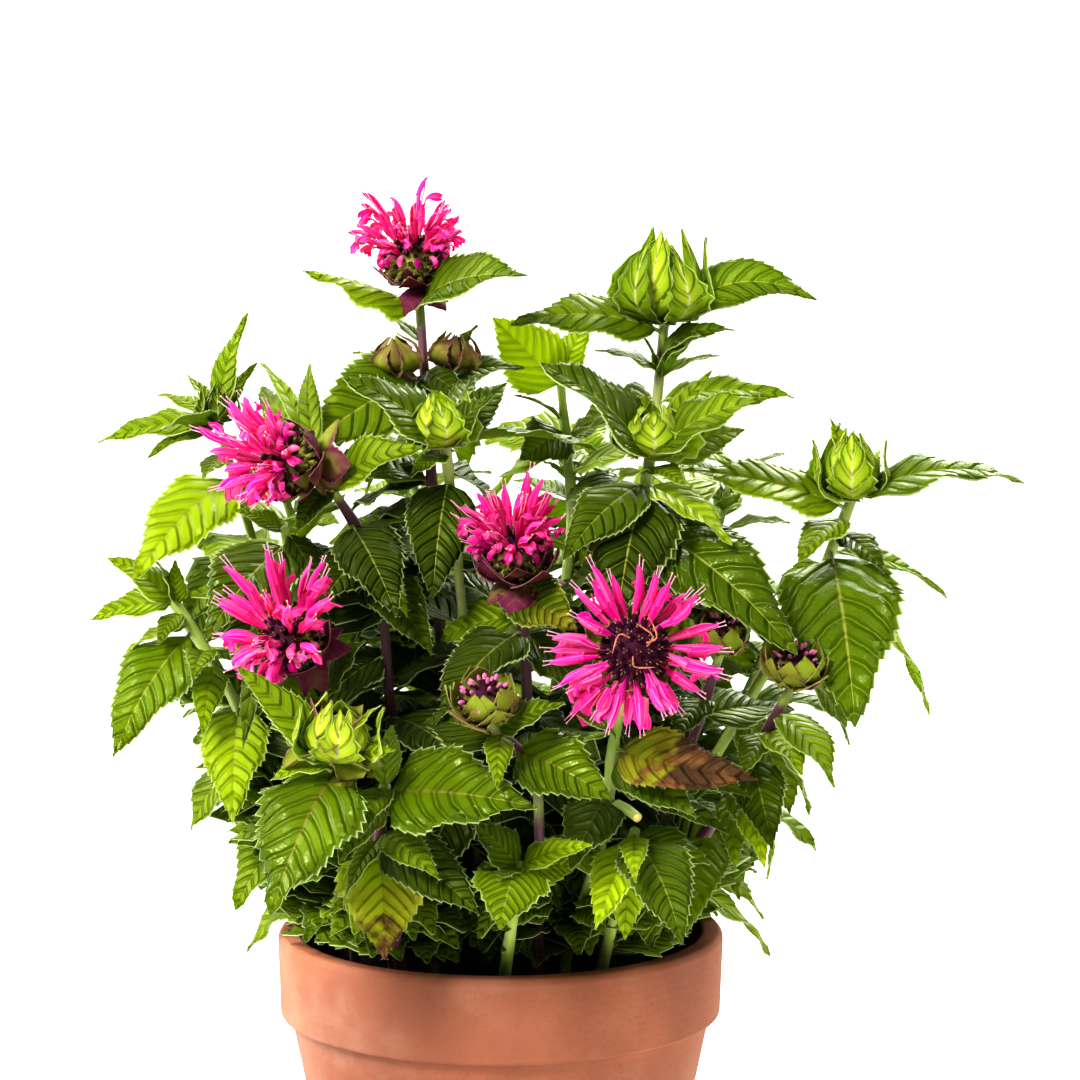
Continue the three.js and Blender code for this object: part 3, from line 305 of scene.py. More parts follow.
# Petals: hot pink with paler streaks along them, and light passing through. Those that point up catch more
# light, so their colour is painted deeper: painted shade that holds back that light.
petalFinish = {"deep": (0.63, 0.001, 0.32), "main": (1.0, 0.011, 0.43), "pale": (1.0, 0.45, 0.58),
               "through": (0.82, 0.11, 0.12), "uprightShade": (0.74, 0.014, 0.25)}


def petalMaterial():
    f = Finish("petalSkin")
    _, side, along = f.parts("run")
    tone, uprightShade, _ = f.parts("mark")
    place = f.add("ShaderNodeCombineXYZ", {
        0: f.math("MULTIPLY", side, 0.35), 1: f.math("MULTIPLY", along, 0.1),
        2: f.math("MULTIPLY", tone, 9)}).outputs[0]
    streak = f.noise(16, 3, place)
    base = f.mix(f.between(tone, 0.1, 0.9), petalFinish["deep"], petalFinish["main"])
    base = f.mix(f.math("MULTIPLY", f.between(streak, 0.42, 0.68), 0.8), base, petalFinish["pale"])
    base = f.mix(f.math("MULTIPLY", f.math("SUBTRACT", 1, f.between(along, 0.0, 0.3)), 0.55), base,
                 petalFinish["pale"])
    # painted shade on the petals that point up
    base = f.mix(uprightShade, base, petalFinish["uprightShade"])
    body = f.add("ShaderNodeBsdfPrincipled", {
        "Base Color": base, "Roughness": 0.55, "Normal": f.bump(f.noise(1600, 2), 0.25, 0.0003),
        "Specular IOR Level": 0.14, "Specular Tint": (1.0, 0.35, 0.70, 1)}).outputs[0]
    glow = f.add("ShaderNodeBsdfTranslucent", {"Color": f.mix(0.65, base, petalFinish["through"])}).outputs[0]
    return f.close(body, glow, 0.42)


# Calyx tubes: yellow-green below, nearly black purple at their teeth.
calyxFinish = {"foot": (0.30, 0.32, 0.06), "tip": (0.05, 0.006, 0.024)}


def calyxMaterial():
    f = Finish("calyxSkin")
    _, _, along = f.parts("run")
    tone, _, _ = f.parts("mark")
    edge = f.math("ADD", along, f.math("SUBTRACT", f.math("MULTIPLY", tone, 1.2), 1.0))
    base = f.mix(f.between(edge, -0.2, 0.3), calyxFinish["foot"], calyxFinish["tip"])
    body = f.add("ShaderNodeBsdfPrincipled", {
        "Base Color": base, "Roughness": 0.7, "Normal": f.bump(f.noise(1500, 2), 0.4, 0.0003),
        "Specular IOR Level": 0.15}).outputs[0]
    return f.close(body)


def plainMaterial(name, colour, variation, roughness, scale=400):
    f = Finish(name)
    darker = tuple(c * (1 - variation) for c in colour)
    base = f.mix(f.between(f.noise(scale, 3), 0.3, 0.7), darker, colour)
    body = f.add("ShaderNodeBsdfPrincipled", {
        "Base Color": base, "Roughness": roughness,
        "Normal": f.bump(f.noise(scale * 3, 2), 0.3, 0.0003)}).outputs[0]
    return f.close(body)


# Terracotta: warm clay with paler lime bloom, fine pores and faint turning lines.
clayFinish = {"warm": (0.33, 0.125, 0.064), "dark": (0.23, 0.086, 0.048), "lime": (0.46, 0.31, 0.23)}


def clayMaterial():
    f = Finish("terracotta")
    place = f.add("ShaderNodeTexCoord").outputs["Object"]
    cloud = f.noise(9, 5, place, 0.6)
    base = f.mix(f.between(cloud, 0.35, 0.68), clayFinish["dark"], clayFinish["warm"])
    height = f.add("ShaderNodeSeparateXYZ", {0: place}).outputs[2]
    damp = f.between(f.math("ADD", height, f.math("MULTIPLY", cloud, 0.03)), 0.02, 0.09)
    bloom = f.between(f.noise(22, 4, place, 0.55), 0.45, 0.8)
    base = f.mix(f.math("MULTIPLY", bloom, f.math("MULTIPLY", damp, 0.34)), base, clayFinish["lime"])
    pores = f.between(f.noise(700, 3, place), 0.3, 0.42)
    base = f.mix(f.math("MULTIPLY", f.math("SUBTRACT", 1, pores), 0.5), base, clayFinish["dark"])
    lines = f.add("ShaderNodeTexWave", {"Vector": place, "Scale": 95, "Distortion": 1.2, "Detail": 2},
                  bands_direction="Z").outputs["Fac"]
    relief = f.math("ADD", f.math("MULTIPLY", lines, 0.25), f.math("ADD", pores, f.noise(260, 4, place)))
    body = f.add("ShaderNodeBsdfPrincipled", {
        "Base Color": base, "Roughness": 0.82, "Normal": f.bump(relief, 0.35, 0.0006),
        "Specular IOR Level": 0.3}).outputs[0]
    return f.close(body)


def soilMaterial():
    f = Finish("pottingSoil")
    base = f.ramp(f.noise(420, 4, rough=0.7), ((0.25, (0.010, 0.006, 0.004)), (0.55, (0.040, 0.024, 0.015)),
                                            (0.8, (0.10, 0.066, 0.042))))
    body = f.add("ShaderNodeBsdfPrincipled", {
        "Base Color": base, "Roughness": 0.95, "Normal": f.bump(f.noise(900, 5, rough=0.7), 0.8, 0.0015),
        "Specular IOR Level": 0.2}).outputs[0]
    return f.close(body)


finishes = {
    "leafTop": leafMaterial("leafTop", leafFinish), "leafUnder": leafMaterial("leafUnder", underFinish),
    "bud": leafMaterial("budSkin", budFinish),
    "stem": stemMaterial(), "bract": bractMaterial(), "petal": petalMaterial(), "calyx": calyxMaterial(),
    "hair": plainMaterial("paleHair", (0.72, 0.76, 0.52), 0.2, 0.6),
    "anther": plainMaterial("anther", (0.62, 0.45, 0.20), 0.4, 0.6),
    "filament": plainMaterial("filament", (0.95, 0.40, 0.68), 0.3, 0.5),
    "youngTip": plainMaterial("youngTip", (0.62, 0.16, 0.34), 0.45, 0.6),
    "cut": plainMaterial("cutEnd", (0.75, 0.62, 0.20), 0.2, 0.5),
    "withered": plainMaterial("witheredFloret", (0.50, 0.17, 0.09), 0.4, 0.7),
}
finishOrder = list(finishes)
print("plant finishes ready")


# A piece in the making: meshes are gathered with their finishes and made one object at the end.
class Piece:
    def __init__(self, name):
        self.name = name
        self.chunks = []
        self.count = 0

    def add(self, points, faces, finish, run=(0, 0, 0), mark=(0, 0, 0), gloss=0.0):
        n = len(points)
        self.chunks.append({
            "points": points, "faces": np.asarray(faces) + self.count, "finish": finishOrder.index(finish),
            "run": np.broadcast_to(np.asarray(run, float), (n, 3)),
            "mark": np.broadcast_to(np.asarray(mark, float), (n, 3)),
            "gloss": np.broadcast_to(np.asarray(gloss, float), (n,)),
        })
        self.count += n

    def build(self, nodes, slotName):
        mesh = bpy.data.meshes.new(self.name)
        points = np.concatenate([c["points"] for c in self.chunks]) * milli
        loops = np.concatenate([c["faces"].ravel() for c in self.chunks])
        sizes = np.concatenate([np.full(len(c["faces"]), c["faces"].shape[1]) for c in self.chunks])
        used = sorted({c["finish"] for c in self.chunks})
        look = np.concatenate([np.full(len(c["faces"]), used.index(c["finish"])) for c in self.chunks])
        mesh.vertices.add(len(points))
        mesh.vertices.foreach_set("co", points.astype(np.float32).ravel())
        mesh.loops.add(len(loops))
        mesh.loops.foreach_set("vertex_index", loops.astype(np.int32))
        mesh.polygons.add(len(sizes))
        mesh.polygons.foreach_set("loop_start", (np.cumsum(sizes) - sizes).astype(np.int32))
        mesh.polygons.foreach_set("material_index", look.astype(np.int32))
        mesh.polygons.foreach_set("use_smooth", np.ones(len(sizes), bool))
        for key, kind, field in (("run", "FLOAT_VECTOR", "vector"), ("mark", "FLOAT_VECTOR", "vector"),
                                 ("gloss", "FLOAT", "value")):
            values = np.concatenate([c[key] for c in self.chunks])
            mesh.attributes.new(key, kind, "POINT").data.foreach_set(field, values.astype(np.float32).ravel())
        mesh.update(calc_edges=True)
        for index in used:
            mesh.materials.append(finishes[finishOrder[index]])
        made = bpy.data.objects.new(self.name, mesh)
        bpy.context.scene.collection.objects.link(made)
        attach(made, "root")
        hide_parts(*nodes)
        return made


def gridFaces(rows, columns, wrap=False):
    r, c = np.meshgrid(np.arange(rows - 1), np.arange(columns if wrap else columns - 1), indexing="ij")
    a = (r * columns + c).ravel()
    b = (r * columns + (c + 1) % columns).ravel()
    return np.stack([a, b, b + columns, a + columns], 1)


# A thin sheet along a spine, with its own thickness: an upper and a lower face and a rim around them.
def addSheet(piece, spine, columns, half, lift, thick, looks, run, mark, gloss=0.0, slide=None):
    place, ahead, out, across = (part[:, None, :] for part in spine)
    x = np.broadcast_to(half * columns[None, :] if half.ndim == 2 else half[:, None] * columns[None, :],
                        lift.shape)
    top = place + across * x[..., None] + out * lift[..., None]
    if slide is not None:
        top = top + ahead * slide[..., None]
    low = top - out * thick[..., None]
    rows, cols = lift.shape
    faces = gridFaces(rows, cols)

    def flat(grid):
        return np.broadcast_to(grid, (rows, cols, grid.shape[-1])).reshape(rows * cols, -1)

    runs, marks = flat(run), flat(np.asarray(mark, float))
    piece.add(flat(top), faces, looks[0], runs, marks, gloss)
    piece.add(flat(low), faces[:, ::-1], looks[1], runs, marks, gloss)
    index = np.arange(rows * cols).reshape(rows, cols)
    loop = np.concatenate([index[0], index[1:, -1], index[-1, -2::-1], index[-2:0:-1, 0]])
    n = len(loop)
    step = np.arange(n)
    quads = np.stack([step, step + n, (step + 1) % n + n, (step + 1) % n], 1)
    piece.add(np.concatenate([flat(top)[loop], flat(low)[loop]]), quads, looks[0],
              np.concatenate([runs[loop]] * 2), np.concatenate([marks[loop]] * 2), gloss)
    return top


# A tube along a path, with a radius at each point and a rounded end where asked.
def addTube(piece, path, radii, sides, finish, mark=(0, 0, 0), square=0.0, run=None, ends=(True, True),
            hollow=0.0):
    path = np.asarray(path, float)
    ahead = unit(np.gradient(path, axis=0))
    side = np.cross(vec(0, 0, 1), ahead[0])
    side = unit(side if side.dot(side) > 0.01 else vec(1, 0, 0))
    rings = []
    angles = np.arange(sides) / sides * 2 * math.pi
    form = 1 - square * (1 - np.abs(np.cos(2 * angles)) ** 1.5)
    for place, way, radius in zip(path, ahead, radii):
        side = unit(side - way * side.dot(way))
        across = np.cross(way, side)
        ring = side * np.cos(angles)[:, None] + across * np.sin(angles)[:, None]
        rings.append(place + ring * (radius * form)[:, None])
    points = np.concatenate(rings)
    share = np.repeat(np.linspace(0, 1, len(path)), sides)
    runs = np.stack([np.zeros(len(points)), np.zeros(len(points)), share], 1) if run is None else run
    mark = np.asarray(mark, float)
    marks = np.repeat(mark, sides, axis=0) if mark.ndim == 2 else mark
    piece.add(points, gridFaces(len(path), sides, wrap=True), finish, runs, marks)
    for at, wanted in ((0, ends[0]), (-1, ends[1])):
        if not wanted:
            continue
        ring = rings[at]
        tip = path[at] + ahead[at] * ((radii[at] * 0.4 if not hollow else -hollow) if at else radii[0] * -0.4)
        cap = np.stack([np.arange(sides), (np.arange(sides) + 1) % sides, np.full(sides, sides)], 1)
        capMark = mark[at] if mark.ndim == 2 else mark
        cap = cap if at else cap[:, ::-1]
        piece.add(np.vstack([ring, tip]), cap, finish, (0, 0, 1 if at else 0), capMark)


# Fine pale hairs: thin three-sided spikes, each from a root along a direction.
def addHairs(piece, roots, ways, longs, width, finish="hair"):
    roots, ways = np.asarray(roots, float), unit(np.asarray(ways, float))
    side = unit(np.cross(ways, vec(0.3, 0.5, 0.8)))
    across = np.cross(ways, side)
    ring = [roots + (side * math.cos(a) + across * math.sin(a)) * width for a in (0, 2.09, 4.19)]
    tips = roots + ways * np.asarray(longs)[:, None]
    points = np.stack([*ring, tips], 1).reshape(-1, 3)
    base = np.arange(len(roots))[:, None] * 4
    faces = np.concatenate([base + np.array(row) for row in ((0, 1, 3), (1, 2, 3), (2, 0, 3), (0, 2, 1))])
    piece.add(points, faces, finish)


# The plan of the plant: every shoot as it looks from the front, and the heads they carry. A stem goes down
# from its top through places given as across, up and depth to a foot in the soil. A leaf's row holds where it
# leaves the stem (across, up), its tip (across, up, depth), its width and what bends it, and looks holds its
# tone, or its tone, how pink its rib is, its gloss and its dry patch. The tone paints the light and shade on
# the leaf as well as its green. Small leaves stand in no solid.
shoots = {
    "stem_low_front": {
        "purple": 0.2, "looks": [0.6, 0.85, 0.7, 0.4], "stem": [[8, 178, -110]], "foot": [2, -62],
        "small": [[8, 178, -1, 172, -125, 7]],
        "leaves": [
            [8, 177, 0, 152, -135, 28, {"arch": 0.16}], [8, 179, 37, 186, -124, 12, {"roll": 30}],
            [8, 177, 32, 178, -118, 20, {"roll": 55}], [8, 178, -12, 196, -112, 18, {"roll": 40}],
        ],
    },
    "stem_low_left": {
        "purple": 0.5, "looks": [(0.38, 0.7, 0.8), 0.75, 0.45, 0.5, 0.5, (0.8, 0.1, 0.3, 0.46), 0.5, 0.2],
        "stem": [[-46, 210, -103], [-48, 187, -96]], "foot": [-38, -54],
        "leaves": [
            [-45, 209, 15, 201, -142, 38, {"roll": 46, "arch": 0.1}],
            [-47, 210, -43, 234, -112, 12, {"roll": -20}], [-46, 208, -56, 189, -128, 14, {"arch": 0.15}],
            [-48, 198, -63, 180, -120, 14], [-48, 188, -62, 165, -122, 10],
            [-47, 184, -46, 140, -142, 42, {"arch": 0.13}], [-46, 186, -24, 172, -130, 16, {"roll": 20}],
            [-46, 181, -8, 158, -124, 26, {"roll": 25}],
        ],
    },
    "stem_low_right": {
        "purple": 0.2, "looks": [(0.3, 0.2, 0), 0.85, 0.95, 0.95, 0.4], "stem": [[54, 192, -95]],
        "foot": [40, -50],
        "leaves": [
            [56, 190, 73, 146, -132, 28, {"arch": 0.12}], [53, 188, 54, 171, -118, 11],
            [52, 184, 38, 152, -120, 20, {"roll": 10}], [53, 180, 50, 148, -104, 18],
            [54, 190, 84, 178, -108, 18, {"roll": 30}],
        ],
    },
    "stem_bud_dotted": {
        "purple": 0.6, "looks": [(0.42, 0.7, 0.8), 0.7, 0.45, 0.15],
        "stem": [[-1, 226, -122], [12, 218, -106]], "foot": [15, -44],
        "bracts": {"head": "bud_dotted", "count": 5, "long": 17, "wide": 13, "drop": 0.1, "ripe": -0.05},
        "leaves": [
            [11, 221, 45, 204, -136, 28, {"roll": 35, "fold": 20}],
            [-1, 228, -1, 208, -140, 11, {"arch": 0.16}], [0, 230, 26, 243, -130, 15, {"roll": 40}],
            [10, 221, -30, 236, -98, 26, {"roll": 30}],
        ],
    },
    "stem_bud_low": {
        "purple": 0.5, "looks": [(0.4, 0.7, 0.9), 0.8, 0.3, 0.6, 0.8, 0.8, 0.75],
        "stem": [[-66, 219, -114]], "foot": [-26, -40],
        "buds": [
            {"at": [-66, 222, -115], "axis": [0.1, -0.25, 1], "wide": 27, "tall": 23, "bracts": 6,
             "tone": 1.05, "skirt": 12},
        ],
        "leaves": [
            [-66, 218, -92, 158, -150, 40, {"arch": 0.12, "roll": 12}], [-66, 216, -92, 212, -126, 14],
            [-64, 216, -86, 164, -126, 17, {"roll": -70}],
            [-66, 219, -106, 258, -112, 16, {"roll": 35, "arch": 0.05}],
            [-64, 222, -48, 242, -126, 12, {"roll": 30}], [-65, 220, -42, 224, -124, 12, {"roll": 45}],
            [-66, 220, -84, 236, -132, 12],
        ],
    },
    "stem_bloom_front": {
        "purple": 0.15, "looks": [(0.4, 0.3, 0.5, 0.62), 0.5, 0.5, 0.35, 0.3, 0.35, 0.3],
        "stem": [[46, 232, -100], [45, 208, -90]], "foot": [26, -34],
        "bracts": {"head": "bloom_front", "count": 6, "long": 18, "wide": 11, "drop": 0.55, "ripe": 0.1},
        "stub": [[47, 202, -96], [55, 197, -108]],
        "leaves": [
            [46, 226, 103, 212, -124, 27, {"roll": 40, "sweep": 0.06}],
            [46, 230, 28, 239, -124, 13, {"roll": 30}], [46, 229, 31, 226, -126, 12],
            [45, 211, 79, 197, -122, 21, {"roll": 25}], [45, 208, 92, 190, -100, 14, {"roll": 20}],
            [44, 198, 28, 176, -112, 24, {"roll": 10}], [45, 216, 101, 205, -106, 16, {"roll": 30}],
        ],
    },
    "stem_bud_opening": {
        "purple": 0.85, "looks": [0.55, 0.5, 0.75, 0.2, 0.8, 0.8, 0.6, 0.6, 0.5],
        "stem": [[108, 235, -76], [94, 208, -66]], "foot": [44, -22],
        "bracts": {"head": "bud_opening", "count": 5, "long": 16, "wide": 12, "drop": 0.1, "ripe": 0.0},
        "leaves": [
            [112, 242, 134, 209, -102, 22, {"arch": 0.12}], [106, 232, 97, 214, -92, 15],
            [106, 230, 121, 214, -96, 20], [98, 216, 109, 184, -102, 21, {"roll": 10}],
            [94, 208, 106, 177, -112, 18], [100, 220, 107, 172, -80, 15, {"roll": -60}],
            [104, 228, 124, 198, -70, 17], [88, 198, 94, 176, -108, 15], [72, 184, 74, 150, -100, 26],
        ],
    },
    "stem_bloom_middle": {
        "purple": 0.9, "looks": [0.12, (0.25, 0.9, 0.3, 0.36), 0.4, 0.15, 0.55, 0.15, 0.15, 0.15],
        "stem": [[9, 270, -60], [11, 246, -54]], "foot": [4, -28],
        "bracts": {"head": "bloom_middle", "count": 6, "long": 18, "wide": 13, "drop": 0.35, "ripe": 0.6},
        "leaves": [
            [8, 275, -26, 234, -102, 28, {"arch": 0.12, "roll": 10}],
            [8, 289, 31, 272, -92, 26, {"roll": 40, "fold": 30}], [8, 275, 26, 278, -84, 10, {"roll": 40}],
            [9, 268, 35, 244, -66, 25, {"roll": 20}], [8, 282, -24, 268, -56, 24, {"roll": 30}],
            [10, 240, -24, 212, -40, 30], [9, 236, 42, 214, -46, 30],
            [6, 204, 24, 160, -84, 34, {"roll": 10}],
        ],
    },
    "stem_bloom_low_left": {
        "purple": 0.7, "looks": [0.35, 0.5, 0.4], "stem": [[-70, 246, -72]], "foot": [-42, -34],
        "bracts": {
            "head": "bloom_low_left", "count": 6, "long": 16, "wide": 9.5, "drop": 0.3, "ripe": 0.85,
        },
        "leaves": [
            [-72, 250, -54, 268, -84, 18, {"roll": 30}], [-72, 248, -98, 244, -90, 18, {"roll": 30}],
            [-56, 212, -88, 176, -96, 30, {"roll": 10}],
        ],
    },
    "stem_bud_pale": {
        "purple": 0.05, "stem": [[60, 342, -58], [60, 330, -55]], "foot": [18, -12],
        "looks": [
            0.1, (0.22, 0.1, 0.8), 0.45, (0.28, 0.1, 0.9), 0.85, 0.3, 0.6, 0.5, 0.55, 0.55, 0.5, 0.12, 0.12,
            0.12, 0.12,
        ],
        "buds": [
            {"at": [59, 343, -58], "axis": [0, -0.12, 1], "wide": 29, "tall": 21, "bracts": 6, "tone": 0.95},
        ],
        "leaves": [
            [60, 331, 47, 277, -104, 40, {"arch": 0.1}],
            [60, 341, 16, 379, -74, 36, {"roll": 46, "turn": -24, "arch": 0.12}],
            [61, 340, 107, 365, -76, 26, {"roll": 36, "turn": -20, "arch": 0.12}],
            [60, 309, 119, 262, -98, 38, {"roll": 22, "arch": 0.1}],
            [61, 332, 93, 306, -74, 20, {"roll": 10}], [59, 331, 25, 300, -80, 24, {"roll": 10}],
            [61, 343, 85, 376, -52, 10, {"roll": 30}], [61, 340, 98, 352, -36, 18, {"roll": 40}],
            [60, 337, 47, 331, -78, 12], [60, 337, 74, 330, -78, 12], [60, 312, 73, 308, -72, 10],
            [50, 262, 86, 238, -20, 32], [40, 232, 70, 204, -34, 30],
            [46, 250, 14, 232, -8, 30, {"roll": 20}], [30, 212, 58, 168, -60, 34, {"roll": 10}],
        ],
    },
    "stem_bud_middle": {
        "purple": 0.3, "looks": [0.12, 0.3, 0.3, 0.35, 0.4, 0.3, 0.2, 0.35, 0.1, 0.1, 0.1, 0.1],
        "stem": [[-22, 347, -48], [-20, 336, -45]], "foot": [-6, -14],
        "buds": [
            {"at": [-24, 347, -49], "axis": [-0.1, -0.12, 1], "wide": 25, "tall": 19, "bracts": 6,
             "tone": 0.95},
        ],
        "leaves": [
            [-21, 335, -27, 284, -88, 32, {"arch": 0.1}], [-22, 347, -63, 373, -60, 26, {"roll": 34}],
            [-22, 347, -3, 366, -54, 18, {"roll": 34}], [-22, 346, 39, 344, -26, 22, {"roll": -24}],
            [-21, 345, -36, 333, -62, 13], [-22, 348, 3, 371, -24, 16, {"roll": 30}],
            [-20, 334, 2, 316, -22, 26, {"roll": 20}], [-22, 347, -10, 374, -30, 14],
            [-14, 262, -50, 244, -6, 32, {"roll": 20}], [-12, 230, -46, 204, -24, 32],
            [-12, 250, 22, 236, 0, 30, {"roll": 20}], [-8, 206, -34, 164, -68, 34, {"roll": 10}],
        ],
    },
    "stem_bloom_left": {
        "purple": 0.6,
        "looks": [(0.6, 0.9, 0.3), 0.08, 0.4, 0.5, (0.3, 0.5, 0.2), 0.9, 0.3, 0.15, 0.12, 0.12, 0.35],
        "stem": [[-66, 330, -50], [-54, 312, -42]], "foot": [-36, -18],
        "sprigs": [[[-64, 329, -50], [-72, 346, -24], [-75, 354, -14]]],
        "bracts": {"head": "bloom_left", "count": 6, "long": 18, "wide": 11, "drop": 0.3, "ripe": 0.45},
        "small": [[-75, 353, -96, 379, 0, 8]],
        "leaves": [
            [-68, 332, -31, 345, -74, 23, {"roll": 44, "arch": 0.14}],
            [-56, 315, -41, 277, -86, 27, {"arch": 0.1, "roll": 12}],
            [-75, 353, -96, 374, -16, 14, {"roll": 30}], [-75, 354, -76, 379, -12, 10, {"roll": 20}],
            [-70, 334, -82, 310, -72, 12], [-54, 300, -37, 277, -76, 12],
            [-50, 290, -27, 262, -72, 22, {"roll": 20}], [-52, 296, -72, 282, -70, 22, {"roll": 20}],
            [-46, 260, -78, 234, -50, 30], [-42, 232, -14, 216, -44, 28],
            [-40, 210, -70, 174, -74, 32, {"roll": 10}],
        ],
    },
    "stem_leafy_middle_left": {
        "purple": 0.3, "looks": [(0.2, 0.2, 0.8), 0.45, 0.2, 0.3, 0.2],
        "stem": [[-86, 313, -46], [-81, 282, -40]], "foot": [-58, -20],
        "leaves": [
            [-86, 309, -118, 268, -78, 34, {"arch": 0.12, "roll": 20}],
            [-86, 312, -106, 320, -62, 13, {"roll": 30}], [-85, 312, -68, 278, -60, 18, {"roll": 10}],
            [-82, 290, -103, 224, -66, 15], [-84, 305, -60, 296, -30, 20, {"roll": 30}],
        ],
    },
    "stem_bud_right": {
        "purple": 0.15,
        "looks": [(0.33, 0.3, 0.6), 0.6, 0.35, 0.65, 0.2, 0.8, 0.6, 0.5, 0.7, 0.7, 0.4, 0.4, 0.15, 0.5],
        "stem": [[141, 325, -42], [140, 312, -40], [134, 302, -37]], "foot": [42, 0],
        "buds": [
            {"at": [141, 326, -42], "axis": [-0.06, -0.1, 1], "wide": 25, "tall": 27, "bracts": 7,
             "tone": 0.8},
        ],
        "leaves": [
            [136, 304, 142, 233, -82, 48, {"arch": 0.09}],
            [140, 321, 73, 336, -58, 26, {"roll": 26, "arch": 0.06}],
            [142, 321, 210, 331, -46, 27, {"roll": 18, "arch": 0.16}], [140, 312, 119, 299, -66, 18],
            [140, 311, 154, 295, -62, 15], [130, 296, 172, 238, -20, 26, {"roll": 10}],
            [134, 300, 179, 285, -12, 12, {"roll": 20}], [128, 294, 108, 284, -40, 15, {"roll": 20}],
            [141, 322, 132, 357, -44, 17], [141, 322, 152, 344, -44, 16], [112, 262, 140, 226, -40, 28],
            [92, 232, 116, 198, -34, 28], [100, 246, 72, 222, -10, 26],
            [66, 202, 96, 164, -40, 32, {"roll": 10}],
        ],
    },
    "stem_bud_hidden": {
        "purple": 0.6, "looks": [0.25, 0.35], "stem": [[84, 244, -60]], "foot": [38, -8],
        "bracts": {"head": "bud_hidden", "count": 5, "long": 15, "wide": 11, "drop": 0.1, "ripe": 0.05},
        "leaves": [
            [84, 247, 70, 228, -80, 17], [80, 236, 118, 240, -40, 24, {"roll": 20}],
        ],
    },
    "stem_leafy_left": {
        "purple": 0.1,
        "looks": [(0.45, 0.2, 0.7), 0.7, 0.7, 0.6, 0.6, 0.75, 0.8, 0.7, 0.6, 0.4, 0.3, 0.6, 0.5],
        "stem": [[-131, 284, -20], [-120, 270, -20], [-104, 238, -18]], "foot": [-50, -4],
        "small": [[-131, 284, -130, 300, -22, 9]],
        "leaves": [
            [-124, 274, -155, 221, -52, 31, {"arch": 0.1, "roll": 10}],
            [-131, 284, -157, 301, -26, 16, {"roll": 34}], [-131, 283, -164, 276, -30, 16, {"roll": 20}],
            [-130, 283, -138, 300, -18, 12, {"roll": 20}], [-130, 281, -137, 266, -36, 10],
            [-124, 275, -150, 263, -36, 15], [-104, 240, -107, 194, -66, 27, {"arch": 0.1}],
            [-112, 256, -119, 230, -54, 15], [-118, 266, -123, 252, -54, 13],
            [-106, 242, -90, 214, -40, 18], [-118, 266, -106, 290, -12, 18, {"roll": 20}],
            [-96, 222, -124, 192, -20, 28], [-82, 196, -106, 160, -34, 28],
        ],
    },
    "stem_bloom_top": {
        "purple": 0.75, "looks": [0.65, 0.35, (0.45, 0.1, 0.4), 0.2, 0.3, 0.3, 0.15, 0.15, 0.15],
        "stem": [[-32, 384, 8], [-30, 370, 5]], "foot": [-18, 4],
        "bracts": {"head": "bloom_top", "count": 5, "long": 16, "wide": 11, "drop": 0.75, "ripe": 1.0},
        "small": [[-31, 390, -44, 397, 20, 8], [-41, 377, -59, 383, -8, 9], [-19, 379, -9, 394, 4, 9]],
        "sprigs": [
            [[-30, 373, 5], [-36, 372, -2], [-41, 377, -6]], [[-30, 374, 5], [-24, 374, 2], [-19, 379, 0]],
        ],
        "buds": [
            {"at": [-41, 376, -6], "axis": [-0.1, -0.2, 1], "wide": 17, "tall": 15, "bracts": 8,
             "tone": 0.6, "olive": True, "loose": 0.3},
            {"at": [-19, 378, 0], "axis": [0.2, -0.1, 1], "wide": 17, "tall": 14, "bracts": 8, "tone": 0.6,
             "olive": True, "loose": 0.7},
        ],
        "leaves": [
            [-33, 403, -79, 416, -4, 27, {"roll": 10, "arch": 0.05, "fold": -12}],
            [-33, 403, 11, 419, -14, 30, {"roll": 42, "arch": 0.1}],
            [-31, 372, -80, 344, -38, 35, {"roll": 42, "arch": 0.12}],
            [-30, 372, -12, 362, -30, 15, {"roll": 30}], [-30, 372, 10, 377, -2, 22, {"roll": 6}],
            [-30, 366, -58, 352, 26, 24, {"roll": 10}], [-28, 330, -62, 318, 30, 30],
            [-27, 314, 8, 304, 30, 30], [-25, 280, -60, 262, 40, 30],
        ],
    },
    "stem_bud_top": {
        "purple": 0.2, "looks": [0.4, 0.4, 0.5, 0.25, 0.5, 0.3, 0.5, 0.25, 0.25, 0.25],
        "stem": [[66, 397, 0], [65, 370, 0]], "foot": [24, 10],
        "small": [[65, 374, 57, 390, -8, 8], [65, 372, 80, 390, -22, 9], [65, 371, 88, 382, 4, 9]],
        "buds": [
            {"at": [66, 397, 0], "axis": [0, -0.1, 1], "wide": 34, "tall": 34, "bracts": 9, "tone": 0.78},
        ],
        "leaves": [
            [66, 394, 4, 394, -18, 26, {"roll": 24, "arch": 0.12}],
            [66, 394, 127, 404, -10, 25, {"roll": -12, "turn": 44, "arch": 0.2}],
            [65, 374, 38, 384, -12, 13, {"roll": 20}],
            [65, 374, 94, 392, -14, 13, {"roll": 30, "arch": 0.24}],
            [65, 366, 118, 365, -4, 17, {"roll": 16}], [65, 366, 30, 352, 18, 22, {"roll": 10}],
            [65, 350, 96, 336, -8, 24, {"roll": 20}], [60, 318, 92, 300, 26, 30],
            [56, 300, 20, 284, 20, 30], [50, 270, 84, 252, 36, 30],
        ],
    },
    "stem_leafy_top_left": {
        "purple": 0.05, "looks": [0.6, 0.5, 0.78, 0.5, 0.5, 0.5, 0.4, 0.45, 0.6, 0.4, 0.5, 0.6],
        "stem": [[-114, 358, 12], [-106, 330, 6]], "foot": [-46, 14],
        "buds": [
            {"at": [-112, 356, 8], "axis": [0, -0.1, 1], "wide": 13, "tall": 16, "bracts": 5, "tone": 0.5},
        ],
        "leaves": [
            [-114, 357, -161, 347, 0, 16, {"roll": 20}], [-113, 356, -101, 399, 10, 13, {"roll": 26}],
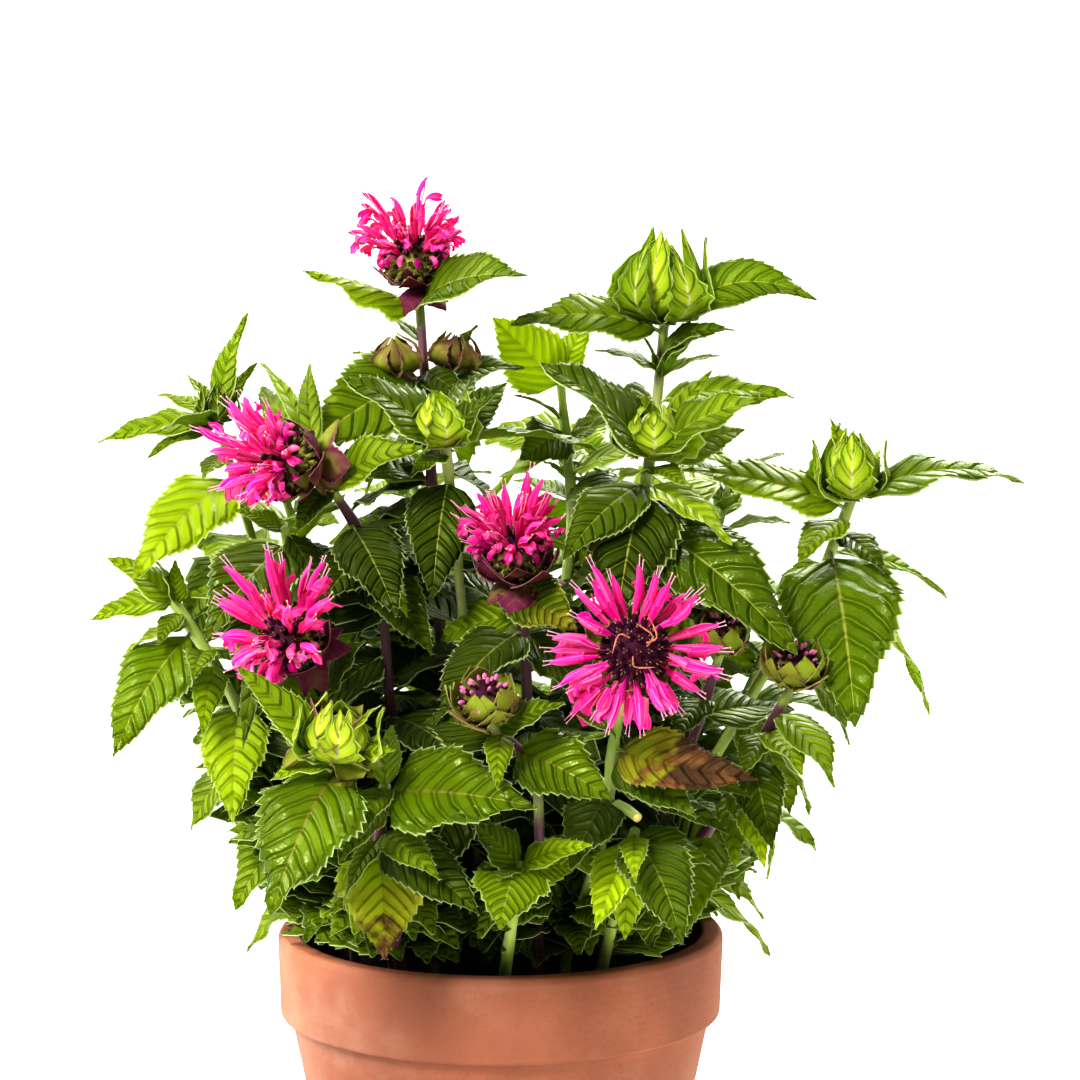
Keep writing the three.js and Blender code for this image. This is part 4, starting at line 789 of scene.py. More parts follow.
            [-106, 332, -147, 292, -26, 31, {"arch": 0.1, "roll": 20}],
            [-112, 352, -97, 379, 2, 10, {"roll": 20}], [-114, 357, -126, 375, 14, 10],
            [-114, 357, -137, 366, 16, 11, {"roll": 10}], [-113, 352, -134, 352, -14, 13, {"roll": -30}],
            [-112, 350, -141, 341, -12, 13, {"roll": 10}], [-110, 344, -119, 332, -16, 14],
            [-104, 326, -80, 332, 24, 22, {"roll": 20}], [-92, 290, -126, 272, 24, 30],
            [-80, 256, -112, 232, 26, 30],
        ],
    },
    "stem_leafy_lime": {
        "purple": 0.1, "looks": [0.84, 0.76, 0.3, 0.5, 0.4, 0.25, 0.15, 0.15],
        "stem": [[24, 374, 60], [29, 350, 58]], "foot": [12, 34],
        "leaves": [
            [24, 372, -3, 397, 58, 29, {"roll": 66}], [25, 374, 37, 398, 60, 15, {"roll": 40}],
            [29, 350, 8, 340, 38, 23, {"roll": 30}], [28, 352, 6, 366, 48, 11],
            [29, 350, 50, 356, 40, 24, {"roll": 20}], [30, 330, 56, 322, 30, 26, {"roll": 20}],
            [26, 296, 60, 280, 62, 30], [22, 284, -14, 270, 62, 30],
        ],
    },
}

# Each bloom has its florets from an angle off its axis to another, of a length at the axis that falls off
# outwards by the share "slim", and those that point up are longer by the share "rise".
blooms = {
    "bloom_top": {"at": [-34, 420, 10], "axis": [-0.12, -0.1, 1], "from": 6, "to": 62, "florets": 20,
                  "dark": 0.6, "seed": 1, "long": 27, "slim": 0.3, "rise": 0},
    "bloom_left": {"at": [-84, 339, -64], "axis": [-1, -0.5, 0.12], "from": 4, "to": 58, "florets": 18,
                   "dark": 0.8, "seed": 2, "long": 29, "slim": 0.42, "rise": 0.25},
    "bloom_low_left": {"at": [-84, 268, -90], "axis": [-0.62, -0.62, 0.55], "from": 6, "to": 74,
                       "florets": 20, "dark": 0.85, "seed": 3, "long": 27, "slim": 0.22, "rise": 0.32},
    "bloom_middle": {"at": [6, 303, -70], "axis": [-0.12, -0.3, 1], "from": 4, "to": 58, "florets": 18,
                     "dark": 0.8, "seed": 4, "long": 27, "slim": 0.42, "rise": 0},
    "bloom_front": {"at": [54, 264, -118], "axis": [0.02, -1, 0.3], "from": 50, "to": 94, "florets": 20,
                    "dark": 1.5, "seed": 5, "threads": 4, "long": 27, "slim": 0, "rise": 0.05},
}

budHeads = {
    "bud_dotted": {"at": [-6, 243, -129], "axis": [-0.1, -0.5, 1], "wide": 8.5, "pinkTips": 22},
    "bud_opening": {"at": [118, 257, -83], "axis": [0.1, -0.4, 1], "wide": 8, "pinkTips": 16},
    "bud_hidden": {"at": [89, 270, -70], "axis": [0.1, -0.4, 1], "wide": 8, "pinkTips": 8},
}

backShoots = [
    {"foot": [-34, 40], "top": [-94, 66, 330]},
    {"foot": [-8, 54], "top": [-42, 112, 344]},
    {"foot": [24, 56], "top": [30, 124, 330]},
    {"foot": [48, 34], "top": [96, 84, 322]},
    {"foot": [-52, 30], "top": [-102, 72, 262]},
    {"foot": [56, 20], "top": [114, 62, 262]},
    {"foot": [4, 72], "top": [-8, 150, 252]},
]
backNodes = [
    {"at": 0.02, "long": 30, "rise": 0.55},
    {"at": 0.2, "long": 48, "rise": -0.15},
    {"at": 0.44, "long": 56, "rise": -0.5},
    {"at": 0.66, "long": 58, "rise": -0.6},
]


# Leaves

# How the finished leaves are drawn: teeth a side for each millimetre of length, how deep and how far forward
# they point, veins a side, the quilting between them, how much the margins wave and droop, and the thickness.
leafForm = {
    "fold": 17, "arch": 0.09, "stalkShare": 0.09, "stalkWide": 1.1, "teethPerMm": 0.29, "toothDeep": 0.048,
    "toothAhead": 0.07, "veins": 8.5, "quilt": 0.007, "wave": 0.06, "droop": 0.2, "thick": 0.28,
    "ribDeep": 0.75, "hairs": 1.1, "hairLong": 1.0, "hairWide": 0.07,
}
fineColumns = np.array([-1, -0.93, -0.78, -0.56, -0.34, -0.16, -0.05, 0,
                        0.05, 0.16, 0.34, 0.56, 0.78, 0.93, 1])
coarseColumns = np.array([-1, -0.84, -0.42, 0, 0.42, 0.84, 1])


def leafCourse(base, tip, shape, s):
    arch = shape.get("arch", leafForm["arch"])
    roll, twist, sweep = (shape.get(key, 0) for key in ("roll", "twist", "sweep"))
    turn = shape.get("turn", 0)  # how much further the finished blade turns to show its face
    chord = tip - base
    long = np.linalg.norm(chord)
    along = chord / long
    up = vec(0, -0.2, 1)
    face = unit(up - along * up.dot(along))
    over = np.cross(along, face)
    nearer = 1 if over[1] <= 0 else -1

    def facing(angle):
        return face * np.cos(angle)[..., None] + over * np.sin(angle)[..., None]

    rise = facing(np.array(math.radians(roll * nearer)))
    swing = np.cross(along, rise)
    bulge = (4 * s * (1 - s) * long)[:, None]
    slope = (4 * (1 - 2 * s))[:, None]
    place = base + chord * s[:, None] + rise * arch * bulge + swing * sweep * bulge
    ahead = unit(along + rise * arch * slope + swing * sweep * slope)
    out = facing(np.radians(roll + turn + twist * s) * nearer)
    out = unit(out - ahead * np.sum(out * ahead, 1, keepdims=True))
    return place, ahead, out, np.cross(ahead, out)


def bladeHalf(s, wide):
    t = np.clip((s - leafForm["stalkShare"]) / (1 - leafForm["stalkShare"]), 0, 1)
    form = 0.5 * wide * np.sin(np.pi * t ** 0.62) ** 0.85 * (1.1 - 0.42 * t * t)
    return np.maximum(leafForm["stalkWide"] * np.clip((1 - s) / 0.06, 0.03, 1), form)


def addLeaf(piece, base, tip, wide, shape, look, seed, fine=True):
    form = leafForm
    tone, pink, gloss, patch = look
    long = np.linalg.norm(tip - base)
    teeth = int(np.clip(round(long * form["teethPerMm"]), 5, 17)) if fine else 5
    columns = fineColumns if fine and long > 20 else coarseColumns
    phases = np.array([0, 0.8])
    t = np.concatenate([(k + phases) / teeth for k in range(teeth)] + [np.array([1.0])])
    first = form["stalkShare"] - 0.015
    s = first + (1 - first) * t
    p = np.concatenate([np.tile([0.0, 1.0], teeth), [0.0]])
    calm = np.clip(t / 0.12, 0, 1) * np.clip((1 - t) / 0.05, 0, 1)
    c = np.abs(columns)[None, :]
    half = bladeHalf(s, wide)[:, None]
    size = form["toothDeep"] * (0.75 + 0.5 * draw(seed + 3)) * (1 if fine else 1.4)
    spread = half * (1 + (size * (p * 2 - 1) * calm)[:, None] * c ** 5)
    fold = math.radians(shape.get("fold", form["fold"] + 14 * (draw(seed + 6) - 0.5)))
    x = spread * columns[None, :]
    soft = 0.16 * half + 0.3
    lift = math.sin(fold) * (np.sqrt(x * x + soft * soft) - soft)
    aside = np.abs(x) / long
    phase = (s[:, None] - aside * (0.8 + 0.7 * aside * long / wide)) * form["veins"] + draw(seed)
    body = np.clip(c / 0.2, 0, 1) * (1 - c ** 4) * np.clip(half / (0.3 * wide + 0.1), 0, 1)
    lift = lift + min(1.5, form["quilt"] * long) * np.abs(np.sin(np.pi * phase)) ** 0.8 * body
    wave = np.sin(2 * np.pi * (s[:, None] * (1.8 + 1.6 * draw(seed + 1)) + columns * 0.35 + draw(seed + 2)))
    lift = lift + form["wave"] * wide * wave * c ** 2.2 * calm[:, None]
    lift = lift - form["droop"] * half * c ** 3
    lift = lift - 0.4 * np.exp(-(c / 0.045) ** 2) * np.clip(long / 40, 0.3, 1)
    ribs = form["ribDeep"] * np.clip(long / 50, 0.35, 1.1) * (1.05 - s[:, None]) * np.exp(-(c / 0.06) ** 2)
    thick = form["thick"] + ribs + 0 * lift
    slide = (form["toothAhead"] * long * p * calm)[:, None] * c ** 6 / np.sqrt(teeth)
    shape = {"twist": 44 * (draw(seed + 8) - 0.5), **shape}
    spine = leafCourse(base, tip, shape, s)
    run = np.stack(np.broadcast_arrays(phase, c + 0 * phase, s[:, None] + 0 * phase), -1)
    top = addSheet(piece, spine, columns, math.cos(fold) * spread, lift, thick, ("leafTop", "leafUnder"), run,
                   (tone, pink, patch), gloss, slide)
    path, _, out, _ = leafCourse(base, tip, shape, np.linspace(0, first + 0.05, 4))
    radii = np.array([1.05, 0.85, 0.75, 0.45]) * np.clip(long / 45, 0.55, 1.1)
    addTube(piece, path - out * 0.35, radii, 6 if fine else 4, "stem", (tone, 0.2 + pink, 0))
    if fine:
        count = int(np.clip(form["hairs"] * long, 10, 60))
        picks = np.array([[draw(seed + 7 * k), draw(seed + 11 * k + 5)] for k in range(count)])
        rows = (picks[:, 0] * (len(s) - 1)).astype(int)
        sides = np.where(picks[:, 1] < 0.5, 0, len(columns) - 1)
        _, ahead, outward, across = spine
        ways = across[rows] * np.where(sides == 0, -1, 1)[:, None] + ahead[rows] * 0.5 + (
            outward[rows] * (picks[:, 1:] * 3 % 1 - 0.5))
        addHairs(piece, top[rows, sides], ways, form["hairLong"] * (0.5 + picks[:, 0]), form["hairWide"])
    return top


# Stems

stemForm = {"foot": 2.8, "top": 2.1, "square": 0.16, "swell": 0.32, "fine": 5, "hairs": 0.6, "hairLong": 1.1}
soilTop = 138
holeDeep = 18
soilLumps = 2.6
clearance = 0.3
ribThick = 1.6
headRadius, bloomFlat, budFlat = 12, 0.8, 0.85


def headOf(name):
    head = blooms.get(name) or budHeads[name]
    radius, flat = (headRadius, bloomFlat) if name in blooms else (head["wide"], budFlat)
    ahead = unit(vec(*head["axis"]))
    return ahead, seen(*head["at"]) - ahead * (radius * flat + clearance + ribThick / 2)


def stemPath(shoot):
    footX, footY = shoot["foot"]
    top = [seen(*place) for place in shoot["stem"]] if "stem" in shoot else [vec(*shoot["top"])]
    if "bracts" in shoot:
        ahead, end = headOf(shoot["bracts"]["head"])
        top = [end, end - ahead * 6, *top]
    steps = 2 + len(shoot["stem"]) if "stem" in shoot else 4
    path = spacedPoints([*top, vec(footX, footY, soilTop + 2 * soilLumps)], steps)
    return [*path, vec(footX, footY, soilTop - holeDeep + clearance)]


def nearestOn(paths, place):
    best = None
    for path in paths:
        for i in range(len(path) - 1):
            start = path[i] if i else path[0] + unit(path[1] - path[0]) * 1.5
            run = path[i + 1] - start
            near = start + run * np.clip((place - start).dot(run) / run.dot(run), 0, 1)
            if best is None or np.linalg.norm(near - place) < np.linalg.norm(best - place):
                best = near
    return best


def addStem(piece, path, joints, purple, foot, top, seed):
    form = stemForm
    if len(path) > 3:
        fine = curvePoints(path[:-1], np.linspace(0, 1, form["fine"] * (len(path) - 2) + 1))
        fine = np.vstack([fine, path[-1]])
    else:
        fine = curvePoints(path, np.linspace(0, 1, 8))
    share = np.linspace(0, 1, len(fine))
    radii = top + (foot - top) * share
    gaps = np.linalg.norm(fine[:, None] - np.array(joints)[None], axis=2).min(1)
    radii = radii * (1 + form["swell"] * np.exp(-(gaps / 3.0) ** 2))
    flush = purple + 0.25 * np.sin(share * 9 + seed) + (0.25 - 0.6 * (share < 0.06)) * (purple > 0.4)
    marks = np.stack([np.full(len(fine), 0.5), flush, np.zeros(len(fine))], 1)
    addTube(piece, fine, radii * 0.92, 12, "stem", marks, square=form["square"])
    count = int(form["hairs"] * np.linalg.norm(np.diff(fine, axis=0), axis=1).sum())
    picks = np.array([[draw(seed + 3 * k), draw(seed + 5 * k + 2)] for k in range(count)])
    at = picks[:, 0] * (len(fine) - 1.01)
    low = at.astype(int)
    place = fine[low] + (fine[low + 1] - fine[low]) * (at - low)[:, None]
    turn = picks[:, 1] * 2 * math.pi
    ways = unit(np.stack([np.cos(turn), np.sin(turn), 0.3 * (picks[:, 0] * 7 % 1)], 1))
    roots = place + ways * (radii[low] * 0.85)[:, None]
    addHairs(piece, roots, ways, form["hairLong"] * (0.6 + picks[:, 1] * 0.6), leafForm["hairWide"])


stubForm = {"wide": (2.2, 2.1, 2.0), "faceWide": (1.95, 1.95, 0.4), "sides": 10}


# A short cut end beside a stem, pale where it was cut.
def addStub(piece, start, end):
    path = [start, start * 0.5 + end * 0.5 + vec(0, 0, 0.6), end]
    addTube(piece, path, stubForm["wide"], stubForm["sides"], "stem", (0.5, 0.1, 0), ends=(True, False))
    way = unit(end - start)
    face = [end - way * 0.6, end + way * 0.05, end + way * 0.1]
    addTube(piece, face, stubForm["faceWide"], stubForm["sides"], "cut")


# Bracts and closed buds

# The bracts under a head stand in three rings: the outer ones droop as the head's "drop" says, the inner ones
# curve up round it. A closed bud is wrapped in three rings of broad heart-shaped ones whose tips stand free.
bractForm = {"size": (1.0, 1.2, 1.1), "wide": (1.3, 1.3, 1.1), "start": (0.05, -0.1, 0.0),
             "bend": (-1.0, 1.45, 1.25), "cup": 0.3, "thick": 0.26, "gloss": 0.3}
budForm = {"wide": (0.58, 0.5, 0.38), "tight": (1.06, 0.84, 0.55), "high": (0.96, 1.02, 0.88), "cup": 0.3,
           "rows": 14, "tooth": (0.13, 0.04), "heart": 0.12, "most": 0.46}
bractColumns = np.array([-1, -0.88, -0.56, -0.22, 0, 0.22, 0.56, 0.88, 1])


# A bract along a line of points: cupped round what it holds, broad near its base and drawn out at its tip.
def addBract(piece, line, back, wide, finish, mark, cup, most=0.36, tooth=0.0, heart=0.0, flare=0.0):
    s = np.linspace(0, 1, budForm["rows"])
    place = curvePoints(line, s)
    long = np.linalg.norm(np.diff(place, axis=0), axis=1).sum()
    ahead = unit(np.gradient(place, axis=0))
    out = unit(back - ahead * np.sum(ahead * back, 1, keepdims=True))
    across = np.cross(ahead, out)
    taper = np.clip((1 - s) / (1 - most), 0, 1)
    form = np.where(s < most, np.clip(s / most, 0, 1) ** 0.42, taper ** 0.95 * (1.7 - 0.7 * taper))
    half = 0.5 * wide * np.clip(form, 0.02, 1)
    half[0] = 0.2 * wide
    c = np.abs(bractColumns)[None, :]
    zigzag = np.where(np.arange(len(s)) % 2, 1, -1) * np.clip(s * 4, 0, 1) * (s < 0.97)
    spread = half[:, None] * (1 + tooth * zigzag[:, None] * c ** 6)
    phase = s[:, None] * 5 - 1.1 * c
    lift = -cup * spread * c ** 1.8 + 0.05 * wide * np.abs(np.sin(np.pi * phase)) * (1 - c ** 3) * np.clip(
        c / 0.3, 0, 1) + 0.35 * np.exp(-(c / 0.12) ** 2) + flare * spread * c ** 5
    slide = -heart * long * c ** 2 * np.exp(-(s[:, None] / 0.16) ** 2)
    run = np.stack(np.broadcast_arrays(phase, c + 0 * phase, s[:, None] + 0 * phase), -1)
    addSheet(piece, (place, ahead, out, across), bractColumns, spread, lift, bractForm["thick"] + 0 * lift,
             (finish, finish), run, mark, bractForm["gloss"], slide)


def arcLine(start, out, ahead, long, angle, bend):  # a line that leaves outwards and bends as it goes
    turns = angle + bend * (np.arange(5) + 0.5) / 5
    steps = (out * np.cos(turns)[:, None] + ahead * np.sin(turns)[:, None]) * long / 5
    return list(start + np.vstack([vec(0, 0, 0), np.cumsum(steps, axis=0)]))


def addBractStar(piece, star, centre, ahead, opening, seed):
    form = bractForm
    around = frameOf(ahead)
    lobe = 2 * math.pi / star["count"]
    for ring in range(3):
        for k in range(star["count"]):
            chance = [draw(k * 2.3 + ring * 11 + seed + n * 5.1) for n in range(4)]
            side = around((k + 0.31 + (0, 0.5, 0.22)[ring]) * lobe + 0.5 * (chance[0] - 0.5))
            long = star["long"] * form["size"][ring] * (0.85 + 0.3 * chance[1])
            start = form["start"][ring] + (0.25 if opening else -0.5 * star["drop"] * (1, 0.5, 0)[ring])
            bend = form["bend"][ring] + 0.7 * (chance[2] - 0.5) + (2.0, 0.3, 0.4)[ring] * opening
            line = arcLine(centre + side * 1.5 + ahead * (0.8 + 0.8 * ring), side, ahead, long, start, bend)
            wide = star["wide"] * form["wide"][ring] * (0.9 + 0.25 * chance[3])
            tone = star["ripe"] + 0.35 * (chance[3] - 0.5)
            cup = form["cup"] * (1 if ring or opening else -0.4)
            addBract(piece, line, -ahead + side * (0.4 + 0.3 * ring), wide, "bract", (tone, 0.4, 0), cup,
                     tooth=0.05, flare=0.3)


def addClosedBud(piece, bud, seed):
    form = budForm
    foot = seen(*bud["at"])
    ahead = unit(vec(*bud.get("axis", [0, 0, 1])))
    around = frameOf(ahead)
    wide, tall = bud["wide"], bud["tall"]
    count = max(4, round(bud["bracts"] * 0.6))
    heart = [foot + ahead * tall * u for u in (-0.03, 0.08, 0.2, 0.34, 0.5, 0.7)]
    addTube(piece, heart, wide * np.array([0.08, 0.22, 0.3, 0.3, 0.2, 0.04]), 10, "bud", (0.2, 0.1, 0))
    for ring in range(3):
        for k in range(count):
            chance = [draw(seed + ring * 31 + k * 7 + n * 3.3) for n in range(6)]
            angle = (k + 0.5 * ring + 0.4 * (chance[0] - 0.5) + 0.1) / count * 2 * math.pi
            high = form["high"][ring] * (0.76 + 0.3 * chance[1])
            tight = form["tight"][ring] * (0.92 + 0.2 * chance[4])
            tipOut = tight * (0.08 + 0.36 * chance[2] * (1.3 if ring == 0 else 0.6)) * bud.get("loose", 1)
            spots = [(-0.03, 0.06), (0.04, 0.3 * tight), (0.26, 0.5 * tight), (0.6 * high, 0.46 * tight),
                     (high, tipOut)]
            lean = 0.3 * (chance[5] - 0.5)
            line = [foot + ahead * tall * up + around(angle + lean * up) * wide * out for up, out in spots]
            tone = bud["tone"] + 0.4 * (chance[3] - 0.6) - 0.1 * (2 - ring)
            leafy = 5 / count * wide * (0.9 + 0.25 * chance[3])
            if bud.get("olive"):
                finish, tone = "bract", -0.02 + 0.42 * chance[3]
            else:
                finish = "bud"
            outer = ring == 0
            leafy *= form["wide"][ring]
            addBract(piece, line, around(angle), leafy, finish, (tone, 0.1, 0), form["cup"],
                     most=form["most"], tooth=form["tooth"][0 if outer else 1], heart=form["heart"],
                     flare=0.15 + 0.6 * chance[0] if outer else 0.15)
    for k in range(bud.get("skirt", 0)):  # folded bracts that stand out and curl round an opening bud
        chance = [draw(seed + k * 5.7 + n * 2.9) for n in range(4)]
        side = around(k * turnStep + chance[0] * 0.5)
        line = arcLine(foot + side * 2, side, ahead, wide * (0.62 + 0.25 * chance[1]), 0.2 + 0.7 * (k % 2),
                       -2.2 * chance[2] + 0.9 * (k % 2))
        addBract(piece, line, ahead - side * 0.5, 0.5 * wide, "bract", (-0.25 + 0.7 * chance[1], 0.4, 0),
                 -0.5 * chance[3], tooth=0.06, heart=0.05, flare=0.6)


# Blooms

# The florets of a bloom: a pink tube that parts in a long hooded upper lip and a broad hanging lower one, two
# fine stamens under the hood, and between them the calyx tubes of the dome.
bloomForm = {
    "extra": 9, "tube": (0.5, 0.65, 0.95, 1.5, 1.95), "upperWide": 2.8, "lowerWide": 5.6,
    "calyces": 96, "budCalyces": 64, "budDark": 0.6, "calyxWide": 1.0, "calyxLong": 6.5,
    "stamenOut": 3.6, "hang": 0.07, "young": 14,
    "upperShape": (1.35, 1.1, 0.75, 0.45, 0.15), "lowerShape": (0.75, 0.7, 1.0, 1.0, 0.55), "lobes": 0.3,
    "stamenWide": 0.17, "antherWide": (0.12, 0.32, 0.12), "hookWide": (0.6, 0.8, 1.1, 1.3, 1.4, 1.1, 0.5),
    "core": 0.86, "seatHigh": (0.99, 0.85, 0.6), "seatWide": (0.2, 0.45, 0.66), "spread": 122,
    "toothLong": (1.5, 1.3, 1.7), "toothWide": 0.3, "knobHigh": (-0.6, 0.6, 1.7, 2.3),
    "knobWide": (0.8, 1.2, 1.1, 0.5), "threadWide": (0.4, 0.35, 0.45, 0.3, 0.4, 0.3, 0.15),
}
upperColumns = np.array([-1, -0.55, 0, 0.55, 1])
lowerColumns = np.array([-1, -0.72, -0.44, 0, 0.44, 0.72, 1])


def addLip(piece, start, way, end, back, wide, cup, mark, waist, columns, lobes=0.0):
    s = np.linspace(0, 1, 8)
    reach = np.linalg.norm(end - start)
    line = [start, start + way * 0.42 * reach + (end - start) * 0.18,
            start + way * 0.25 * reach + (end - start) * 0.62, end]
    place = curvePoints(line, s)
    ahead = unit(np.gradient(place, axis=0))
    out = unit(back - ahead * np.sum(ahead * back, 1, keepdims=True))
    half = 0.5 * wide * np.interp(s, (0, 0.35, 0.65, 0.88, 1), waist)
    c = columns[None, :]
    lift = -cup * half[:, None] * c ** 2 + 0.14 * wide * np.sin(s * 7 + mark[0] * 9)[:, None] * c
    slide = -lobes * wide * np.exp(-((np.abs(c) - 0.44) / 0.1) ** 2) * s[:, None] ** 9
    run = np.stack(np.broadcast_arrays(0 * lift, c + 0 * lift, 0.5 + 0.5 * s[:, None] + 0 * lift), -1)
    addSheet(piece, (place, ahead, out, np.cross(ahead, out)), columns, half, lift, 0.3 + 0 * lift,
             ("petal", "petal"), run, mark, 0, slide)


def addFloret(piece, centre, ahead, out, lean, long, seed, share=1.0):
    form = bloomForm
    way = ahead * math.cos(lean) + out * math.sin(lean)
    curl = out * math.cos(lean) - ahead * math.sin(lean)
    turn = 1.9 * (draw(seed + 33) - 0.5)
    curl = curl * math.cos(turn) + np.cross(way, curl) * math.sin(turn)
    side = np.cross(way, curl)
    reach = long * (0.8 + 0.32 * draw(seed)) * share
    broad = 1.1 - 0.45 * way[2]  # the ones that point up are slimmer
    bend = 0.2 + 0.8 * draw(seed + 40)
    tone = draw(seed + 9)
    # the mark's second number is painted shade for a floret that points up
    mark = (tone, 0.62 * max(0, way[2]) ** 1.5, 0)
    gape = (0.6 + 0.6 * draw(seed + 71)) * broad
    sway = side * (draw(seed + 21) - 0.5) * 0.22 * reach
    hang = vec(0, 0, -form["hang"] * reach)
    root = centre + way * 0.2 * headRadius
    throat = root + way * (0.4 * headRadius + 0.52 * reach) + curl * 0.05 * reach
    upper = throat + way * 0.42 * reach + curl * 0.14 * bend * reach
    lower = throat + way * 0.2 * reach + curl * (0.2 + 0.2 * bend) * reach + hang
    path = [root + (throat - root) * t + (curl * 0.035 * reach + sway * 0.7) * math.sin(math.pi * t)
            for t in (0, 0.3, 0.55, 0.8, 1)]
    runs = np.zeros((len(path) * 8, 3))
    runs[:, 2] = np.repeat([0.0, 0.15, 0.3, 0.42, 0.5], 8)
    runs[:, 1] = np.tile(np.cos(np.arange(8) / 8 * 2 * math.pi), len(path))
    girth = np.array(form["tube"]) * (0.85 + 0.3 * draw(seed + 2))
    addTube(piece, path, girth, 8, "petal", mark, run=runs, hollow=1.6)
    start = throat - way * 1.8
    addLip(piece, start - curl * 1.7, way, upper + sway * 0.8, -curl, form["upperWide"] * (0.8 + 0.4 * gape),
           0.8, mark, form["upperShape"], upperColumns)
    addLip(piece, start + curl * 1.6, way, lower + sway * 0.5, -curl, form["lowerWide"] * gape,
           0.45 - 0.7 * tone, mark, form["lowerShape"], lowerColumns, form["lobes"])
    for turn in (-1, 1):
        tip = upper + way * form["stamenOut"] * (0.5 + 0.6 * draw(seed + turn)) + side * turn * 0.8
        line = [throat - way * 2, throat + (upper - throat) * 0.5 + curl * 0.6 + side * turn * 0.4, tip]
        addTube(piece, curvePoints(line, np.linspace(0, 1, 5)), np.full(5, form["stamenWide"]), 4, "filament")
        addTube(piece, [tip - side * 0.5, tip, tip + side * 0.5], form["antherWide"], 5, "anther")


# A young floret low on the dome: a short pink hook.
def addHook(piece, centre, ahead, out, lean, seed):
    way = ahead * math.cos(lean) + out * math.sin(lean)
    curl = out * math.cos(lean) - ahead * math.sin(lean)
    reach = 5 + 3 * draw(seed)
    root = centre + way * headRadius * 0.7
    path = [root, root + way * reach * 0.5 - curl * 0.8, root + way * reach * 0.85 + curl * 0.8,
            root + way * reach * 0.8 + curl * 3.2]
    addTube(piece, curvePoints(path, np.linspace(0, 1, 7)), bloomForm["hookWide"], 7, "petal",
            (draw(seed + 3), 0, 0))


# The dome of a head: calyx tubes with teeth on a core, and the closed pink tips of the first "pinkTips".
def addHead(piece, centre, ahead, radius, flat, count, pinkTips, dark, seed):
    form = bloomForm
    around = frameOf(ahead)
    shares = np.linspace(-1, 1, 11)
    core = [centre + ahead * radius * form["core"] * flat * u for u in shares]
    addTube(piece, core, radius * form["core"] * np.sqrt(np.maximum(0.02, 1 - shares ** 2)), 14, "calyx",
            (0.45 * dark, 0, 0))
    seat = [centre - ahead * radius * flat * u for u in form["seatHigh"]]
    addTube(piece, seat, radius * np.array(form["seatWide"]), 12, "calyx", (0.2, 0, 0))
    long = form["calyxLong"] * radius / headRadius
    for k in range(count):
        lean = math.radians(3 + form["spread"] * math.sqrt((k + 0.5) / count))
        way = ahead * math.cos(lean) + around(k * turnStep + seed) * math.sin(lean)
        reach = radius * (1.02 + 0.14 * draw(seed + k)) * (flat + (1 - flat) * math.sin(lean) ** 2)
        tip = centre + way * reach
        wide = form["calyxWide"] * (0.85 + 0.3 * draw(seed + k + 5)) * radius / headRadius
        path = [tip - way * long, tip - way * long * 0.5, tip]
        ripe = dark * (1.2 - 1.0 * max(0, lean - 0.8))
        addTube(piece, path, np.array([0.75, 1.0, 1.1]) * wide, 6, "calyx", (ripe, 0, 0))
        sides = [around(a) for a in (0, 2.1, 4.2)]
        addHairs(piece, [tip + side * wide * 0.8 for side in sides], [way + side * 0.25 for side in sides],
                 form["toothLong"], form["toothWide"], "calyx")
        if k < pinkTips:
            knob = [tip + way * high for high in form["knobHigh"]]
            addTube(piece, knob, np.array(form["knobWide"]) * wide, 7, "youngTip", (0.9, 0, 0))


# The plant
print("building the plant")


def cadPoints(node):
    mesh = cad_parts[node].data
    points = np.empty(len(mesh.vertices) * 3, np.float32)
    mesh.vertices.foreach_get("co", points)
    return points.reshape(-1, 3) / milli


# The tips a leaf may have taken in the solids, in their order; the first that is a point of them is its tip.
tipReaches = (1, 0.84, 0.68, 0.5)
tipShifts = ((0, 0), (0, 5), (0, -5), (5, 0), (-5, 0), (8, 8), (-8, 8), (8, -8), (-8, -8))
tipDepths = (0, -7, 7, -15, 15, -24, 24, -34, 34)
backRises = (0, 10, -10, 20, -20, 30, -30)
backShifts = (0, 12, -12, 24, -24)


def frontTips(base, row):
    return np.array([base + (seen(row[2] + right, row[3] + rise, row[4] + step) - base) * reach
                     for reach in tipReaches for right, rise in tipShifts for step in tipDepths])


def tipTaken(choices, points):
    gaps = ((choices[:, None] - points[None]) ** 2).sum(2).min(1)
    found = np.nonzero(gaps < 0.05 ** 2)[0]
    return choices[found[0]] if len(found) else None


def fullLook(look, default):
    look = look if isinstance(look, tuple) else (look,)
    return (*look, *default[len(look):])


def frontLeaves(shoot, paths, rows, looks):
    found = []
    for i, (row, look) in enumerate(zip(rows, looks)):
        lift = 2.2 * ((i % 4) - 1.5)
        aside = nearestOn(paths, seen(row[0], row[1] + lift, shoot["stem"][0][2]))
        base = nearestOn(paths, aside)
        base = base - unit(seen(row[2], row[3], row[4]) - base) * 0.8
        found.append((base, frontTips(base, row), row[5], row[6] if len(row) > 6 else {}, look))
    return found


def backLeaves(index, path):
    found = []
    for node, spot in enumerate(backNodes):
        base = curvePoint(path, spot["at"])
        out = math.atan2(base[1] + 20, 0.7 * base[0])
        for turn in (-1, 1):
            angle = out + turn * (0.75 if node % 2 else 0.35) + (1.9 if turn > 0 and node % 2 == 0 else 0)
            angle += 0.5 * (draw(index * 9 + node + turn * 50) - 0.5)
            reach = spot["long"] * (0.9 + 0.2 * draw(index + node * 7 + turn))
            tip = base + vec(math.cos(angle) * reach, math.sin(angle) * reach, spot["rise"] * reach)
            choices = np.array([tip + vec(aside, 0.3 * abs(aside), up)
                                for up in backRises for aside in backShifts])
            tone = 0.25 + 0.45 * draw(index * 3 + node * 5 + turn)
            found.append((base, choices, 0.6 * reach, {"arch": 0.12}, tone))
    return found


